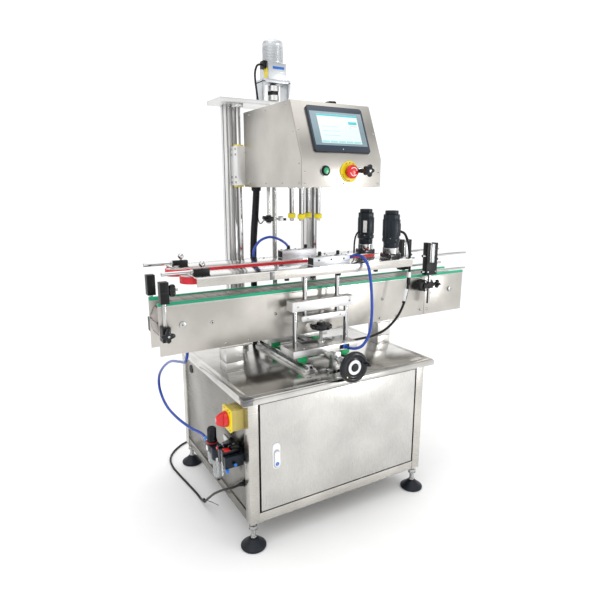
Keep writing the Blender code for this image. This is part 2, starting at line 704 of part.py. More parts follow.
def head_box():
    x0, x1 = HEAD_X
    front = HEAD_Y[0]
    hollow = prism("X", head_outline(HEAD_SHEET), x0 + HEAD_SHEET, x1 - HEAD_SHEET)
    adds = [prism("X", head_outline(0.0), x0, x1),
            block((x0 + 0.001, x1 - 0.001), (front + 0.030, HEAD_Y[1] - 0.001),
                  (BEARING_Z, BEARING_Z + 0.005))]
    for side in (-1, 1):
        guide_x = LIFT_X + side * GUIDE_OFF
        adds.append(block(span(guide_x, 0.0185), (0.100, 0.155), (1.100, 1.240)))
    adds.append(block(span(LIFT_X, 0.030), (0.1075, 0.190), (1.120, 1.146)))
    for x, z in ((-0.070, 1.145), (0.016, 1.143)):
        adds.append(rod("Y", (x, z), 0.0155, (front - 0.004, front + 0.001), 16))
    arm_x, arm_y = -0.100, 0.020
    adds.append(rod("Z", (arm_x, arm_y), 0.006, (0.975, HEAD_Z[0] + 0.001), 12))
    adds.append(block(span(arm_x, 0.012), span(arm_y, 0.014), (0.980, 1.002)))
    adds.append(rod("X", (arm_y - 0.004, 0.991), 0.0045, (arm_x, arm_x + 0.040), 12))
    adds.append(block((arm_x + 0.038, arm_x + 0.064), span(arm_y - 0.004, 0.008), (0.982, 1.000)))
    cuts = []
    for x, y, _, _ in spindle_places():
        cuts.append(rod("Z", (x, y), 0.0092, (1.09, 1.16), 12))
    cuts.append(rod("Z", (SPINDLE_X, PATH_Y), 0.0092, (1.14, 1.16), 12))
    for x, z in ((-0.070, 1.145), (0.016, 1.143)):
        cuts.append(rod("Y", (x, z), 0.0125, (front - 0.01, front + 0.01), 16))
    cuts.append(rod("Y", (0.057, 1.146), 0.0072, (front - 0.01, front + 0.01), 12))
    for side in (-1, 1):
        cuts.append(rod("Z", (LIFT_X + side * GUIDE_OFF, GUIDE_Y), GUIDE_R + 0.0006, (1.09, 1.25)))
    cuts.append(rod("Z", (LIFT_X, LIFT_Y), 0.0100, (1.11, 1.16)))
    fused("head_box", stainless(), adds, cuts, hollow=[hollow])


def touch_screen():
    run = SLOPE_TOP_Y - HEAD_Y[0]
    rise = HEAD_Z[1] - CREASE_Z
    length = math.hypot(run, rise)
    along = Vector((run / length, rise / length))
    out = Vector((-along.y, along.x))
    foot = Vector((HEAD_Y[0], CREASE_Z)) + along * 0.0148
    outline = [foot + out * GAP, foot + along * 0.146 + out * GAP,
               foot + along * 0.146 + out * 0.009, foot + out * 0.009]
    fused("touch_screen", screen_plastic(), [prism("X", [tuple(p) for p in outline], -0.104, 0.096)])


def controls():
    front = HEAD_Y[0]
    fused("start_button", green_plastic(),
          [rod("Y", (-0.070, 1.145), 0.0118, (front - 0.0105, front + 0.012), 16)],
          (), (-0.070, front, 1.145))
    mushroom = [(0.0118, front + 0.012), (0.0118, front - 0.011), (0.020, front - 0.012),
                (0.020, front - 0.020), (0.014, front - 0.026)]
    fused("stop_button", red_plastic(), [turned("Y", (0.016, 1.143), mushroom)], (),
          (0.016, front, 1.143))
    centre = (0.057, 1.146)
    fused("head_knob", black_plastic(),
          [prism("Y", lobed(centre, 0.019, 5, 0.006, 30), front - 0.052, front - 0.034),
           rod("Y", centre, 0.006, (front - 0.036, front + 0.012), 12)], (),
          (centre[0], front, centre[1]))


def spindles():
    names = ("spindle_front_left", "spindle_front_right", "spindle_rear_left", "spindle_rear_right")
    for name, (x, y, side_x, side_y) in zip(names, spindle_places()):
        to_middle = math.atan2(-side_y, -side_x)
        adds = [rod("Z", (x, y), 0.008, (0.986, 1.170), 14),
                turned("Z", (x, y), [(0.011, 0.991), (0.013, 0.993), (0.013, 1.009), (0.011, 1.011)], 14),
                prism("Z", gear_outline((x, y), SPINDLE_TEETH, to_middle), *GEAR_Z)]
        fused(name, yellow_plastic(), adds, (), (x, y, 1.0))
    centre = (SPINDLE_X, PATH_Y)
    fused("drive_gear", grey_metal(),
          [prism("Z", gear_outline(centre, DRIVE_TEETH, 0.0), *GEAR_Z),
           rod("Z", centre, 0.006, (1.112, 1.190), 12)], (), (*centre, 1.13))
    motor = [(0.033, BEARING_Z + 0.005 + GAP), (0.033, 1.175), (0.036, 1.177), (0.036, 1.262), (0.028, 1.270)]
    fused("spindle_motor", black_paint(), [turned("Z", centre, motor)],
          [rod("Z", centre, 0.0068, (1.14, 1.192), 12)])


# Cords

def cords():
    tube("head_conduit", black_hose(),
         [(-0.115, 0.085, 1.0987), (-0.115, 0.086, 1.070), (-0.112, 0.104, 1.000), (-0.105, 0.132, 0.930),
          (-0.101, 0.148, 0.860), (-0.100, 0.150, 0.780), (-0.100, 0.150, 0.680), (-0.100, 0.150, 0.590),
          (-0.100, 0.150, 0.5084)], 0.025, 3)
    tube("air_hose", blue_hose(),
         [(-0.3875, -0.0598, 0.280), (-0.3875, -0.040, 0.280), (-0.391, -0.010, 0.279),
          (-0.404, 0.040, 0.276), (-0.424, 0.130, 0.282), (-0.438, 0.215, 0.300), (-0.446, 0.266, 0.345),
          (-0.448, 0.262, 0.400), (-0.446, 0.205, 0.455), (-0.442, 0.115, 0.505), (-0.438, 0.020, 0.532),
          (-0.436, -0.030, 0.545), (-0.436, -0.056, 0.570), (*HOSE_TIE, 0.594), (*HOSE_TIE, 0.602),
          (*HOSE_TIE, HOSE_TOP)], 0.010, 2)
    tube("clamp_hose", blue_hose(),
         [(0.0964, -0.170, 0.866), (0.107, -0.170, 0.866), (0.124, -0.184, 0.873), (0.134, -0.213, 0.868),
          (0.139, -0.236, 0.838), (0.142, -0.247, 0.790), (0.144, -0.253, 0.730), (0.143, -0.256, 0.665),
          (0.133, -0.257, 0.612), (0.112, -0.254, 0.578), (0.090, -0.246, 0.567), (0.074, -0.230, 0.566),
          (0.070, -0.2060, 0.566)],
         0.010, 2)
    tube("motor_cable", black_hose(),
         [(0.3450, -0.140, 0.940), (0.356, -0.140, 0.940), (0.369, -0.152, 0.928), (0.374, -0.168, 0.885),
          (0.370, -0.180, 0.830), (0.364, -0.186, 0.768), (0.352, -0.186, 0.700), (0.328, -0.180, 0.640),
          (0.285, -0.172, 0.594), (0.230, -0.165, 0.572), (0.160, -0.160, 0.566), (0.1224, -0.160, 0.566)],
         0.009, 2)
    tube("supply_cord", black_hose(), SUPPLY_ROUTE, 0.008, 2)
    outer = rod("Z", COIL_AT, COIL_R + COIL_HALF, (0.0, COIL_HIGH), 20)
    inner = rod("Z", COIL_AT, COIL_R - COIL_HALF, (-0.01, COIL_HIGH + 0.01), 20)
    fused("cord_coil", black_hose(), [outer], [inner])
    plug = [block((PLUG_AT[0], PLUG_AT[0] + 0.048), span(PLUG_AT[1], 0.019), (0.0, 0.032)),
            block((PLUG_AT[0] + 0.047, PLUG_AT[0] + 0.066), span(PLUG_AT[1] - 0.009, 0.002), (0.012, 0.018)),
            block((PLUG_AT[0] + 0.047, PLUG_AT[0] + 0.066), span(PLUG_AT[1] + 0.009, 0.002), (0.012, 0.018))]
    fused("cord_plug", black_plastic(), plug)



cabinet_body()
table_top()
feet()
door()
main_switch()
air_unit()
control_plate()
conveyor_frame()
slat_chain()
sprockets()
guide_rails()
clamp_knobs()
cross_slide()
for tag, half in (("front", lambda shape: shape), ("rear", mirrored)):
    carriage("carriage_" + tag, half)
    clamp("clamp_" + tag, half)
    belt_drive(tag, half)
    height_screw("height_screw_" + tag, half)
columns()
lift_guides()
lift_drive()
head_box()
touch_screen()
controls()
spindles()
cords()
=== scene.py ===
"""Looks for the inline spindle capping machine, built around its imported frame.

Places are in metres from the middle of the cabinet, as in the CAD source; SHIFT moves them into the row frame.
"""

import math

import bmesh
import bpy
from mathutils import Matrix, Vector


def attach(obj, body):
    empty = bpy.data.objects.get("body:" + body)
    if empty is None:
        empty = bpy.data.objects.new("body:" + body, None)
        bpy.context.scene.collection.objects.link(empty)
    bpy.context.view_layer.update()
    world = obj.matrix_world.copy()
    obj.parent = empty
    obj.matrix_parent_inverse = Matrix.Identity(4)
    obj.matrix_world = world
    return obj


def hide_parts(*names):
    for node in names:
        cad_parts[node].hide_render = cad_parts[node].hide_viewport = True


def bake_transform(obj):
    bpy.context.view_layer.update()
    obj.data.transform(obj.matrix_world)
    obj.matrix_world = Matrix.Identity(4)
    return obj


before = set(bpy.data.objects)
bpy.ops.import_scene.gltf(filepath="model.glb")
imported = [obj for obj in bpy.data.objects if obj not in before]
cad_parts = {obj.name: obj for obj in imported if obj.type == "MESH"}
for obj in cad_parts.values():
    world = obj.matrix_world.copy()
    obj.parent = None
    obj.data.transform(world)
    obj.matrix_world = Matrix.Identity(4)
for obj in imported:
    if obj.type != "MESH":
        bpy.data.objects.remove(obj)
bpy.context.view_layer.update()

SHIFT = Vector((-0.0865, 0.03225, 0.0))
GAP = 0.0003

# The frame's own places, repeated from the CAD source
CABINET_X, CABINET_Y, CABINET_Z = 0.3415, 0.3085, (0.0845, 0.5052)
POST, RECESS = 0.032, 0.004
TABLE_X, TABLE_Y, TABLE_Z = 0.366, 0.3335, (0.4873, 0.508)
DOOR_X, DOOR_Z, DOOR_DEPTH = 0.303, (0.121, 0.473), 0.018
LATCH = (-0.251, 0.296)
PATH_Y, BELTWAY, PLATE_Z, PLATE_OUT, PLATE_THICK = -0.065, (-0.535, 0.715), (0.605, 0.759), 0.053, 0.003
CHAIN_HALF, SPROCKET_X, SPROCKET_Z, CHAIN_OUT = 0.041, (-0.465, 0.645), 0.695, 0.07
LEG_X = (-0.288, 0.332)
STAND_X, CLAMP_Y, CARRIAGE_Z, SCREW_Z = -0.004, -0.17, (0.5546, 0.5775), 0.553
BAR_Z, NUT_PLATE_Z, SHAFT_R = (0.705, 0.7375), (0.668, 0.687), 0.008
COVER_X, COVER_Y, COVER_Z = (-0.447, 0.352), (-0.216, -0.106), (0.823, 0.85)
PULLEY_Y, PULLEY_X, PULLEY_R, BELT_Z = -0.14, (-0.435, 0.312), 0.033, (0.8245, 0.8465)
LIFT_X, COLUMN_OFF, COLUMN_Y, COLUMN_SIDE = -0.003, 0.164, 0.1875, 0.045
GUIDE_OFF, GUIDE_Y, GUIDE_R, LIFT_Y, TOP_Z = 0.156, 0.13, 0.01, 0.165, (1.376, 1.39)
HEAD_X, HEAD_Y, HEAD_Z = (-0.148, 0.137), (-0.2866, 0.109), (1.099, 1.345)
CREASE_Z, SLOPE_TOP_Y = 1.182, -0.2165
START_AT, STOP_AT, KNOB_AT = (-0.07, 1.145), (0.016, 1.143), (0.057, 1.146)
SPINDLE_X, SPINDLE_OFF, GEAR_Z, BEARING_Z = -0.006, 0.0325, (1.125, 1.135), 1.15


# Finishes

def finish(name, colour, rough, metal=0.0, streak=None, cloud=0.1, fine=900.0, bump=0.04, spread=0.12,
        **more):
    """A procedural finish: fine grain or brushing in the roughness and bump, soft clouds in the colour."""
    made = bpy.data.materials.new(name)
    made.use_nodes = True
    tree = made.node_tree
    shader = tree.nodes["Principled BSDF"]
    for socket, value in more.items():
        shader.inputs[socket.replace("_", " ")].default_value = value
    shader.inputs["Metallic"].default_value = metal
    place = tree.nodes.new("ShaderNodeTexCoord")
    stretch = tree.nodes.new("ShaderNodeMapping")
    stretch.inputs["Scale"].default_value = streak or (1.0, 1.0, 1.0)
    grain = tree.nodes.new("ShaderNodeTexNoise")
    grain.inputs["Scale"].default_value = fine
    grain.inputs["Detail"].default_value = 3.0
    soft = tree.nodes.new("ShaderNodeTexNoise")
    soft.inputs["Scale"].default_value = 7.0
    soft.inputs["Detail"].default_value = 4.0
    tree.links.new(place.outputs["Object"], stretch.inputs["Vector"])
    tree.links.new(stretch.outputs["Vector"], grain.inputs["Vector"])
    tree.links.new(place.outputs["Object"], soft.inputs["Vector"])
    tint = tree.nodes.new("ShaderNodeValToRGB")
    low, high = tint.color_ramp.elements
    low.position, high.position = 0.32, 0.68
    low.color = (*[c * (1.0 - cloud) for c in colour], 1.0)
    high.color = (*[min(1.0, c * (1.0 + cloud)) for c in colour], 1.0)
    tree.links.new(soft.outputs["Fac"], tint.inputs["Fac"])
    tree.links.new(tint.outputs["Color"], shader.inputs["Base Color"])
    ranged = tree.nodes.new("ShaderNodeMapRange")
    ranged.inputs["To Min"].default_value = max(0.02, rough - spread / 2.0)
    ranged.inputs["To Max"].default_value = rough + spread / 2.0
    tree.links.new(grain.outputs["Fac"], ranged.inputs["Value"])
    tree.links.new(ranged.outputs["Result"], shader.inputs["Roughness"])
    relief = tree.nodes.new("ShaderNodeBump")
    relief.inputs["Strength"].default_value = bump
    relief.inputs["Distance"].default_value = 0.0004
    tree.links.new(grain.outputs["Fac"], relief.inputs["Height"])
    tree.links.new(relief.outputs["Normal"], shader.inputs["Normal"])
    return made


def painted_reflection_bands(made, stops, weight=(0.9, 0.1, 0.7)):
    """Painted reflection: dark and light bands multiplied into a bright metal's colour by the way each face
    turns, standing in for a studio room's reflections.
    """
    tree = made.node_tree
    shader = tree.nodes["Principled BSDF"]
    before = shader.inputs["Base Color"].links[0].from_socket
    facing = tree.nodes.new("ShaderNodeNewGeometry")
    lean = tree.nodes.new("ShaderNodeVectorMath")
    lean.operation = "DOT_PRODUCT"
    lean.inputs[1].default_value = weight
    half = tree.nodes.new("ShaderNodeMath")
    half.operation = "MULTIPLY_ADD"
    half.inputs[1].default_value = half.inputs[2].default_value = 0.5
    ramp = tree.nodes.new("ShaderNodeValToRGB")
    low, high = ramp.color_ramp.elements
    low.position, low.color = stops[0][0], (*[stops[0][1]] * 3, 1.0)
    high.position, high.color = stops[-1][0], (*[stops[-1][1]] * 3, 1.0)
    for place, level in stops[1:-1]:
        ramp.color_ramp.elements.new(place).color = (*[level] * 3, 1.0)
    mixed = tree.nodes.new("ShaderNodeMix")
    mixed.data_type = "RGBA"
    mixed.blend_type = "MULTIPLY"
    mixed.inputs["Factor"].default_value = 1.0
    tree.links.new(facing.outputs["Normal"], lean.inputs[0])
    tree.links.new(lean.outputs["Value"], half.inputs[0])
    tree.links.new(half.outputs["Value"], ramp.inputs["Fac"])
    tree.links.new(before, mixed.inputs[6])
    tree.links.new(ramp.outputs["Color"], mixed.inputs[7])
    tree.links.new(mixed.outputs[2], shader.inputs["Base Color"])
    return made


SATIN = finish("satin_stainless", (0.56, 0.54, 0.505), 0.27, 1.0, (0.05, 1.0, 1.0), 0.13, 700.0, 0.05,
    Anisotropic=0.5)
DOOR_SATIN = finish("door_stainless", (0.6, 0.59, 0.565), 0.27, 1.0, (1.0, 1.0, 0.04), 0.1, 700.0, 0.05,
    Anisotropic=0.6)
# Painted shade: a darker copy of the cabinet stainless for its side faces and underside, shaded by the way
# light falls.
SHADED_SIDE_STAINLESS = finish("side_stainless_painted_shade", (0.25, 0.242, 0.22), 0.26, 1.0, (1.0, 0.05, 1.0), 0.22, 650.0, 0.05,
    Anisotropic=0.4)
TABLE = finish("table_stainless", (0.58, 0.57, 0.545), 0.18, 1.0, (0.05, 1.0, 1.0), 0.16, 600.0, 0.04)
HEAD = finish("head_stainless", (0.52, 0.5, 0.465), 0.31, 1.0, (0.06, 1.0, 1.0), 0.12, 700.0, 0.06)
POLISHED = finish("polished_cover", (0.8, 0.79, 0.77), 0.13, 1.0, (0.08, 1.0, 1.0), 0.1, 500.0, 0.02, 0.1)
LEG = finish("leg_stainless", (0.66, 0.65, 0.63), 0.3, 1.0, (1.0, 1.0, 0.06), 0.06, 700.0, 0.02)
# Dark metal for small dark marks, joint lines and print dots; on the table's front left corner it is a painted
# dark reflection.
DARK_MARK_AND_PAINTED_REFLECTION = finish("dark_marks_and_painted_reflection", (0.2, 0.2, 0.205), 0.36, 1.0, None, 0.45, 500.0, 0.1)
ALU = finish("pale_aluminium", (0.74, 0.74, 0.735), 0.34, 1.0, (1.0, 1.0, 0.06), 0.06, 900.0, 0.03)
MILLED = finish("milled_aluminium", (0.7, 0.7, 0.69), 0.28, 1.0, (0.1, 1.0, 1.0), 0.12, 900.0, 0.06)
# Painted reflection: hard chrome whose colour carries dark and light bands by face direction, in place of
# reflected surroundings.
PAINTED_REFLECTION_CHROME = painted_reflection_bands(finish("hard_chrome_painted_reflection", (0.8, 0.8, 0.8), 0.08, 1.0, (1.0, 1.0, 0.3), 0.06, 500.0, 0.01, 0.05),
    ((0.0, 0.14), (0.14, 0.16), (0.21, 0.75), (0.38, 1.0), (0.44, 0.26), (0.49, 0.24), (0.55, 0.95),
    (0.66, 0.5), (0.78, 0.9), (1.0, 0.85)))
STEEL = finish("zinc_steel", (0.5, 0.5, 0.49), 0.24, 1.0, None, 0.16, 800.0, 0.06)
CAST = finish("cast_alloy", (0.6, 0.62, 0.64), 0.42, 1.0, None, 0.14, 400.0, 0.16)
BLACK = finish("black_nylon", (0.007, 0.0075, 0.009), 0.4, 0.0, None, 0.35, 1400.0, 0.1,
    Specular_IOR_Level=0.25)
GLOSS = finish("black_gloss", (0.006, 0.007, 0.01), 0.22, 0.0, None, 0.3, 1200.0, 0.05, Coat_Weight=0.15,
    Specular_IOR_Level=0.3)
PAINT = finish("black_enamel", (0.004, 0.01, 0.017), 0.33, 0.0, None, 0.4, 500.0, 0.14,
    Specular_IOR_Level=0.3)
# Painted shade: flat dark fills standing for holes, sockets, slots and gaps, which show only shade.
RECESS_SHADE = finish("painted_recess_shade", (0.012, 0.012, 0.013), 0.6, 0.0, None, 0.3, 900.0, 0.05)
RUBBER = finish("foot_rubber", (0.006, 0.009, 0.015), 0.46, 0.0, None, 0.35, 700.0, 0.12,
    Specular_IOR_Level=0.3)
SLAT = finish("slat_acetal", (0.235, 0.205, 0.185), 0.36, 0.0, (0.3, 1.0, 1.0), 0.14, 700.0, 0.08)
GREEN_STRIP = finish("green_wear_strip", (0.0, 0.38, 0.2), 0.32, 0.0, (0.1, 1.0, 1.0), 0.14, 600.0, 0.05)
RED_BELT = finish("red_foam_belt", (0.62, 0.012, 0.022), 0.62, 0.0, None, 0.14, 1500.0, 0.3, Sheen_Weight=0.2)
YELLOW = finish("yellow_plastic", (0.82, 0.64, 0.0), 0.34, 0.0, None, 0.07, 1100.0, 0.05)
# Painted shade: the switch box's yellow darkened to tan for its body sides, which are in shade.
SHADED_SWITCH_YELLOW = finish("switch_body_painted_shade", (0.56, 0.46, 0.13), 0.42, 0.0, None, 0.1, 1100.0, 0.06)
SOFT_YELLOW = finish("yellow_rubber", (0.78, 0.64, 0.0), 0.45, 0.0, None, 0.08, 1300.0, 0.12)
RED = finish("red_plastic", (0.66, 0.008, 0.008), 0.26, 0.0, None, 0.07, 1200.0, 0.04, Coat_Weight=0.3)
GREEN = finish("green_lens", (0.0, 0.33, 0.13), 0.24, 0.0, None, 0.1, 1200.0, 0.04, Coat_Weight=0.4)
LIME = finish("green_end_cap", (0.0, 0.42, 0.13), 0.36, 0.0, None, 0.1, 1000.0, 0.05)
BLUE = finish("blue_tube", (0.0, 0.045, 0.36), 0.24, 0.0, (1.0, 1.0, 1.0), 0.12, 900.0, 0.03, Coat_Weight=0.3)
SKY = finish("blue_fitting", (0.005, 0.14, 0.55), 0.3, 0.0, None, 0.1, 900.0, 0.04)
WHITE = finish("white_plastic", (0.82, 0.83, 0.85), 0.3, 0.0, None, 0.04, 1000.0, 0.04)
CABLE = finish("black_sheath", (0.006, 0.006, 0.008), 0.42, 0.0, None, 0.3, 900.0, 0.08,
    Specular_IOR_Level=0.3)
LABEL = finish("plain_label", (0.78, 0.78, 0.76), 0.4, 0.0, None, 0.06, 900.0, 0.03)
BRASS = finish("brass", (0.78, 0.55, 0.22), 0.25, 1.0, None, 0.1, 900.0, 0.04)
CLEAR = finish("clear_bowl", (0.8, 0.83, 0.84), 0.1, 0.0, None, 0.05, 600.0, 0.02, 0.06,
    Transmission_Weight=0.75, IOR=1.45)
GREY = finish("grey_enclosure", (0.42, 0.43, 0.44), 0.42, 0.0, None, 0.06, 900.0, 0.05)
BEZEL = finish("navy_bezel", (0.016, 0.03, 0.052), 0.38, 0.0, None, 0.1, 1200.0, 0.04, Coat_Weight=0.2)
BEZEL_EDGE = finish("bezel_edge", (0.008, 0.01, 0.014), 0.36, 0.0, None, 0.2, 1200.0, 0.04)
GLASS_EDGE = finish("screen_border", (0.2, 0.28, 0.32), 0.22, 0.0, None, 0.14, 500.0, 0.02, Coat_Weight=0.6)
SCREEN = finish("screen_lit", (0.46, 0.52, 0.54), 0.22, 0.0, None, 0.03, 300.0, 0.01, Coat_Weight=0.6,
    Emission_Color=(0.9, 0.96, 1.0, 1.0), Emission_Strength=0.34)
CYAN = finish("screen_cyan", (0.05, 0.42, 0.44), 0.22, 0.0, None, 0.05, 300.0, 0.01, Coat_Weight=0.6,
    Emission_Color=(0.1, 0.6, 0.62, 1.0), Emission_Strength=0.22)
ORANGE = finish("screen_orange", (0.7, 0.2, 0.1), 0.2, 0.0, None, 0.05, 300.0, 0.01,
    Emission_Color=(0.95, 0.3, 0.14, 1.0), Emission_Strength=0.25)
MINT = finish("screen_mint", (0.24, 0.5, 0.48), 0.2, 0.0, None, 0.05, 300.0, 0.01,
    Emission_Color=(0.4, 0.76, 0.74, 1.0), Emission_Strength=0.25)


# Shapes: closed lists of corners and faces

def oriented(axis, u, v, along):
    if axis == "X":
        return (along, u, v)
    if axis == "Y":
        return (u, along, v)
    return (u, v, along)


def lofted(rings, ends=True):
    count = len(rings[0])
    corners = [corner for ring in rings for corner in ring]
    faces = []
    if ends:
        faces = [tuple(range(count)), tuple(range(len(corners) - count, len(corners)))]
    for ring in range(len(rings) - 1):
        for step in range(count):
            after = (step + 1) % count
            low, high = ring * count, (ring + 1) * count
            faces.append((low + step, low + after, high + after, high + step))
    return corners, faces


def prism(axis, outline, low, high):
    return lofted([[oriented(axis, u, v, along) for u, v in outline] for along in (low, high)])


def span(middle, half):
    return (middle - half, middle + half)


def block(x, y, z):
    return prism("Z", [(x[0], y[0]), (x[1], y[0]), (x[1], y[1]), (x[0], y[1])], z[0], z[1])


def circle(centre, radius, sides, phase=0.0):
    turns = [phase + 2.0 * math.pi * step / sides for step in range(sides)]
    return [(centre[0] + radius * math.cos(a), centre[1] + radius * math.sin(a)) for a in turns]


def round_from(centre, radius, angle):
    return (centre[0] + radius * math.cos(angle), centre[1] + radius * math.sin(angle))


def rod(axis, centre, radius, ends, sides=32):
    return prism(axis, circle(centre, radius, sides), ends[0], ends[1])


def hexagon(axis, centre, across, ends):
    return prism(axis, circle(centre, across / math.sqrt(3.0), 6, 0.3), ends[0], ends[1])


def turned(axis, centre, profile, sides=40):
    rings = []
    for radius, along in profile:
        rings.append([oriented(axis, u, v, along) for u, v in circle(centre, radius, sides)])
    return lofted(rings)


def ring(axis, centre, inner, outer, ends, sides=40):
    """A flat ring with a true hole."""
    loops = []
    for radius, along in ((inner, ends[0]), (outer, ends[0]), (outer, ends[1]), (inner, ends[1])):
        loops.append([oriented(axis, u, v, along) for u, v in circle(centre, radius, sides)])
    return lofted(loops + [loops[0]], ends=False)


def stadium(low, high, across, radius, steps=14):
    points = []
    for centre, first in ((high, -0.5), (low, 0.5)):
        for step in range(steps + 1):
            angle = math.pi * (first + step / steps)
            points.append((centre + radius * math.cos(angle), across + radius * math.sin(angle)))
    return points


def upright(outline):
    """The same outline with its two directions exchanged."""
    return [(v, u) for u, v in outline]


def lobed(centre, radius, lobes, depth, sides=72, phase=0.0):
    points = []
    for step in range(sides):
        angle = 2.0 * math.pi * step / sides
        reach = radius - depth * (0.5 - 0.5 * math.cos(lobes * (angle + phase)))
        points.append((centre[0] + reach * math.cos(angle), centre[1] + reach * math.sin(angle)))
    return points


def star_knob(axis, centre, radius, lobes, depth, near, far):
    """A lobed knob with a drawn-in foot and a domed face; near is its foot and far its face."""
    reach = far - near
    loops = []
    for scale, share in ((0.62, 0.0), (0.92, 0.18), (1.0, 0.38), (1.0, 0.62), (0.93, 0.85), (0.7, 0.97),
            (0.3, 1.0)):
        outline = lobed(centre, radius * scale, lobes, depth * scale)
        loops.append([oriented(axis, u, v, near + reach * share) for u, v in outline])
    return lofted(loops)


def ball(centre, radius, sides=24, rows=14):
    rings = []
    for row in range(1, rows):
        angle = math.pi * row / rows
        rings.append([(centre[0] + radius * math.sin(angle) * math.cos(a),
            centre[1] + radius * math.sin(angle) * math.sin(a),
            centre[2] - radius * math.cos(angle)) for a in (2.0 * math.pi * s / sides for s in range(sides))])
    return lofted(rings)


def same(shape):
    return shape


def mirrored(shape):
    corners, faces = shape
    return [(x, 2.0 * PATH_Y - y, z) for x, y, z in corners], faces


def halves(parts, half):
    return [(look, half(shape)) for look, shape in parts]


def moved(shape, matrix):
    corners, faces = shape
    return [tuple(matrix @ Vector(corner)) for corner in corners], faces


def bar(start, end, radius, sides=16):
    """A round bar between two points."""
    start, end = Vector(start), Vector(end)
    turn = (end - start).to_track_quat("Z", "Y").to_matrix().to_4x4()
    return moved(rod("Z", (0.0, 0.0), radius, (0.0, (end - start).length), sides),
        Matrix.Translation(start) @ turn)


def smooth_route(points, spacing):
    """Points every spacing along a smooth curve through the given ones."""
    knots = [Vector(point) for point in points]
    knots = [2.0 * knots[0] - knots[1]] + knots + [2.0 * knots[-1] - knots[-2]]
    fine = []
    for index in range(1, len(knots) - 2):
        before, start, end, after = knots[index - 1:index + 3]
        for step in range(24):
            t = step / 24.0
            fine.append(0.5 * (2.0 * start + (end - before) * t + (
                2.0 * before - 5.0 * start + 4.0 * end - after) * t * t + (
                3.0 * start - before - 3.0 * end + after) * t ** 3))
    fine.append(knots[-2])
    reach = [0.0]
    for start, end in zip(fine, fine[1:]):
        reach.append(reach[-1] + (end - start).length)
    count = max(2, round(reach[-1] / spacing))
    route, index = [], 0
    for step in range(count + 1):
        wanted = reach[-1] * step / count
        while index < len(reach) - 2 and reach[index + 1] < wanted:
            index += 1
        share = (wanted - reach[index]) / max(1e-9, reach[index + 1] - reach[index])
        route.append(fine[index].lerp(fine[index + 1], min(1.0, share)))
    return route


def tube(route, radius, sides=14, ribs=0.0):
    """A round tube along a route; with ribs every other ring is drawn in, as on a corrugated conduit."""
    forward = (route[1] - route[0]).normalized()
    across = forward.orthogonal().normalized()
    loops = []
    for index, point in enumerate(route):
        ahead = (route[min(index + 1, len(route) - 1)] - route[max(index - 1, 0)]).normalized()
        across = (across - ahead * across.dot(ahead)).normalized()
        other = ahead.cross(across)
        reach = radius - (ribs if index % 4 in (2, 3) else 0.0)
        loops.append([tuple(point + across * reach * math.cos(a) + other * reach * math.sin(a)) for a in (
            2.0 * math.pi * s / sides for s in range(sides))])
    return lofted(loops)


def solid(name, parts, bevel=0.0006, segments=2, shift=True):
    """One mesh object from (finish, shape) pairs, with its edges rounded."""
    mesh = bmesh.new()
    finishes = []
    for look, (corners, faces) in parts:
        if look not in finishes:
            finishes.append(look)
        made = [mesh.verts.new(corner) for corner in corners]
        fresh = []
        for face in faces:
            fresh.append(mesh.faces.new([made[index] for index in face]))
        for face in fresh:
            face.material_index = finishes.index(look)
        bmesh.ops.recalc_face_normals(mesh, faces=fresh)
    data = bpy.data.meshes.new(name)
    mesh.to_mesh(data)
    mesh.free()
    for look in finishes:
        data.materials.append(look)
    thing = bpy.data.objects.new(name, data)
    bpy.context.scene.collection.objects.link(thing)
    if bevel > 0.0:
        edge = thing.modifiers.new("edges", "BEVEL")
        edge.width = bevel
        edge.segments = segments
        edge.limit_method = "ANGLE"
        edge.angle_limit = math.radians(38.0)
        graph = bpy.context.evaluated_depsgraph_get()
        result = bpy.data.meshes.new_from_object(thing.evaluated_get(graph))
        thing.modifiers.clear()
        thing.data = result
        result.name = name
    if shift:
        thing.data.transform(Matrix.Translation(SHIFT))
    thing.data.shade_smooth()
    thing.data.set_sharp_from_angle(angle=math.radians(34.0))
    return thing


def piece(name, body, parts, stands_for=(), bevel=0.0006, segments=2):
    thing = solid(name, parts, bevel, segments)
    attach(thing, body)
    if stands_for:
        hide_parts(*stands_for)
    return thing


def screw_head(axis, centre, wall, out, radius=0.003, look=None):
    """A low socket screw on a wall, standing out to out."""
    look = look or STEEL
    depth = (out - wall) * 0.06
    # The hex socket is a dark fill of painted shade.
    return [(look, turned(axis, centre, [(radius, wall), (radius, wall + (out - wall) * 0.6),
        (radius * 0.72, out)], 16)), (RECESS_SHADE, rod(axis, centre, radius * 0.42, (out - depth, out + depth), 6))]


# Camera, light and floor

HORIZON, SKY_BAND, ZENITH = 1.12, 0.34, 1.55
CAMERA_AT, CAMERA_TURN, CAMERA_LENS = (-0.9989, -1.55535, 1.1002), (77.581, 0.0, -30.239), 30.936


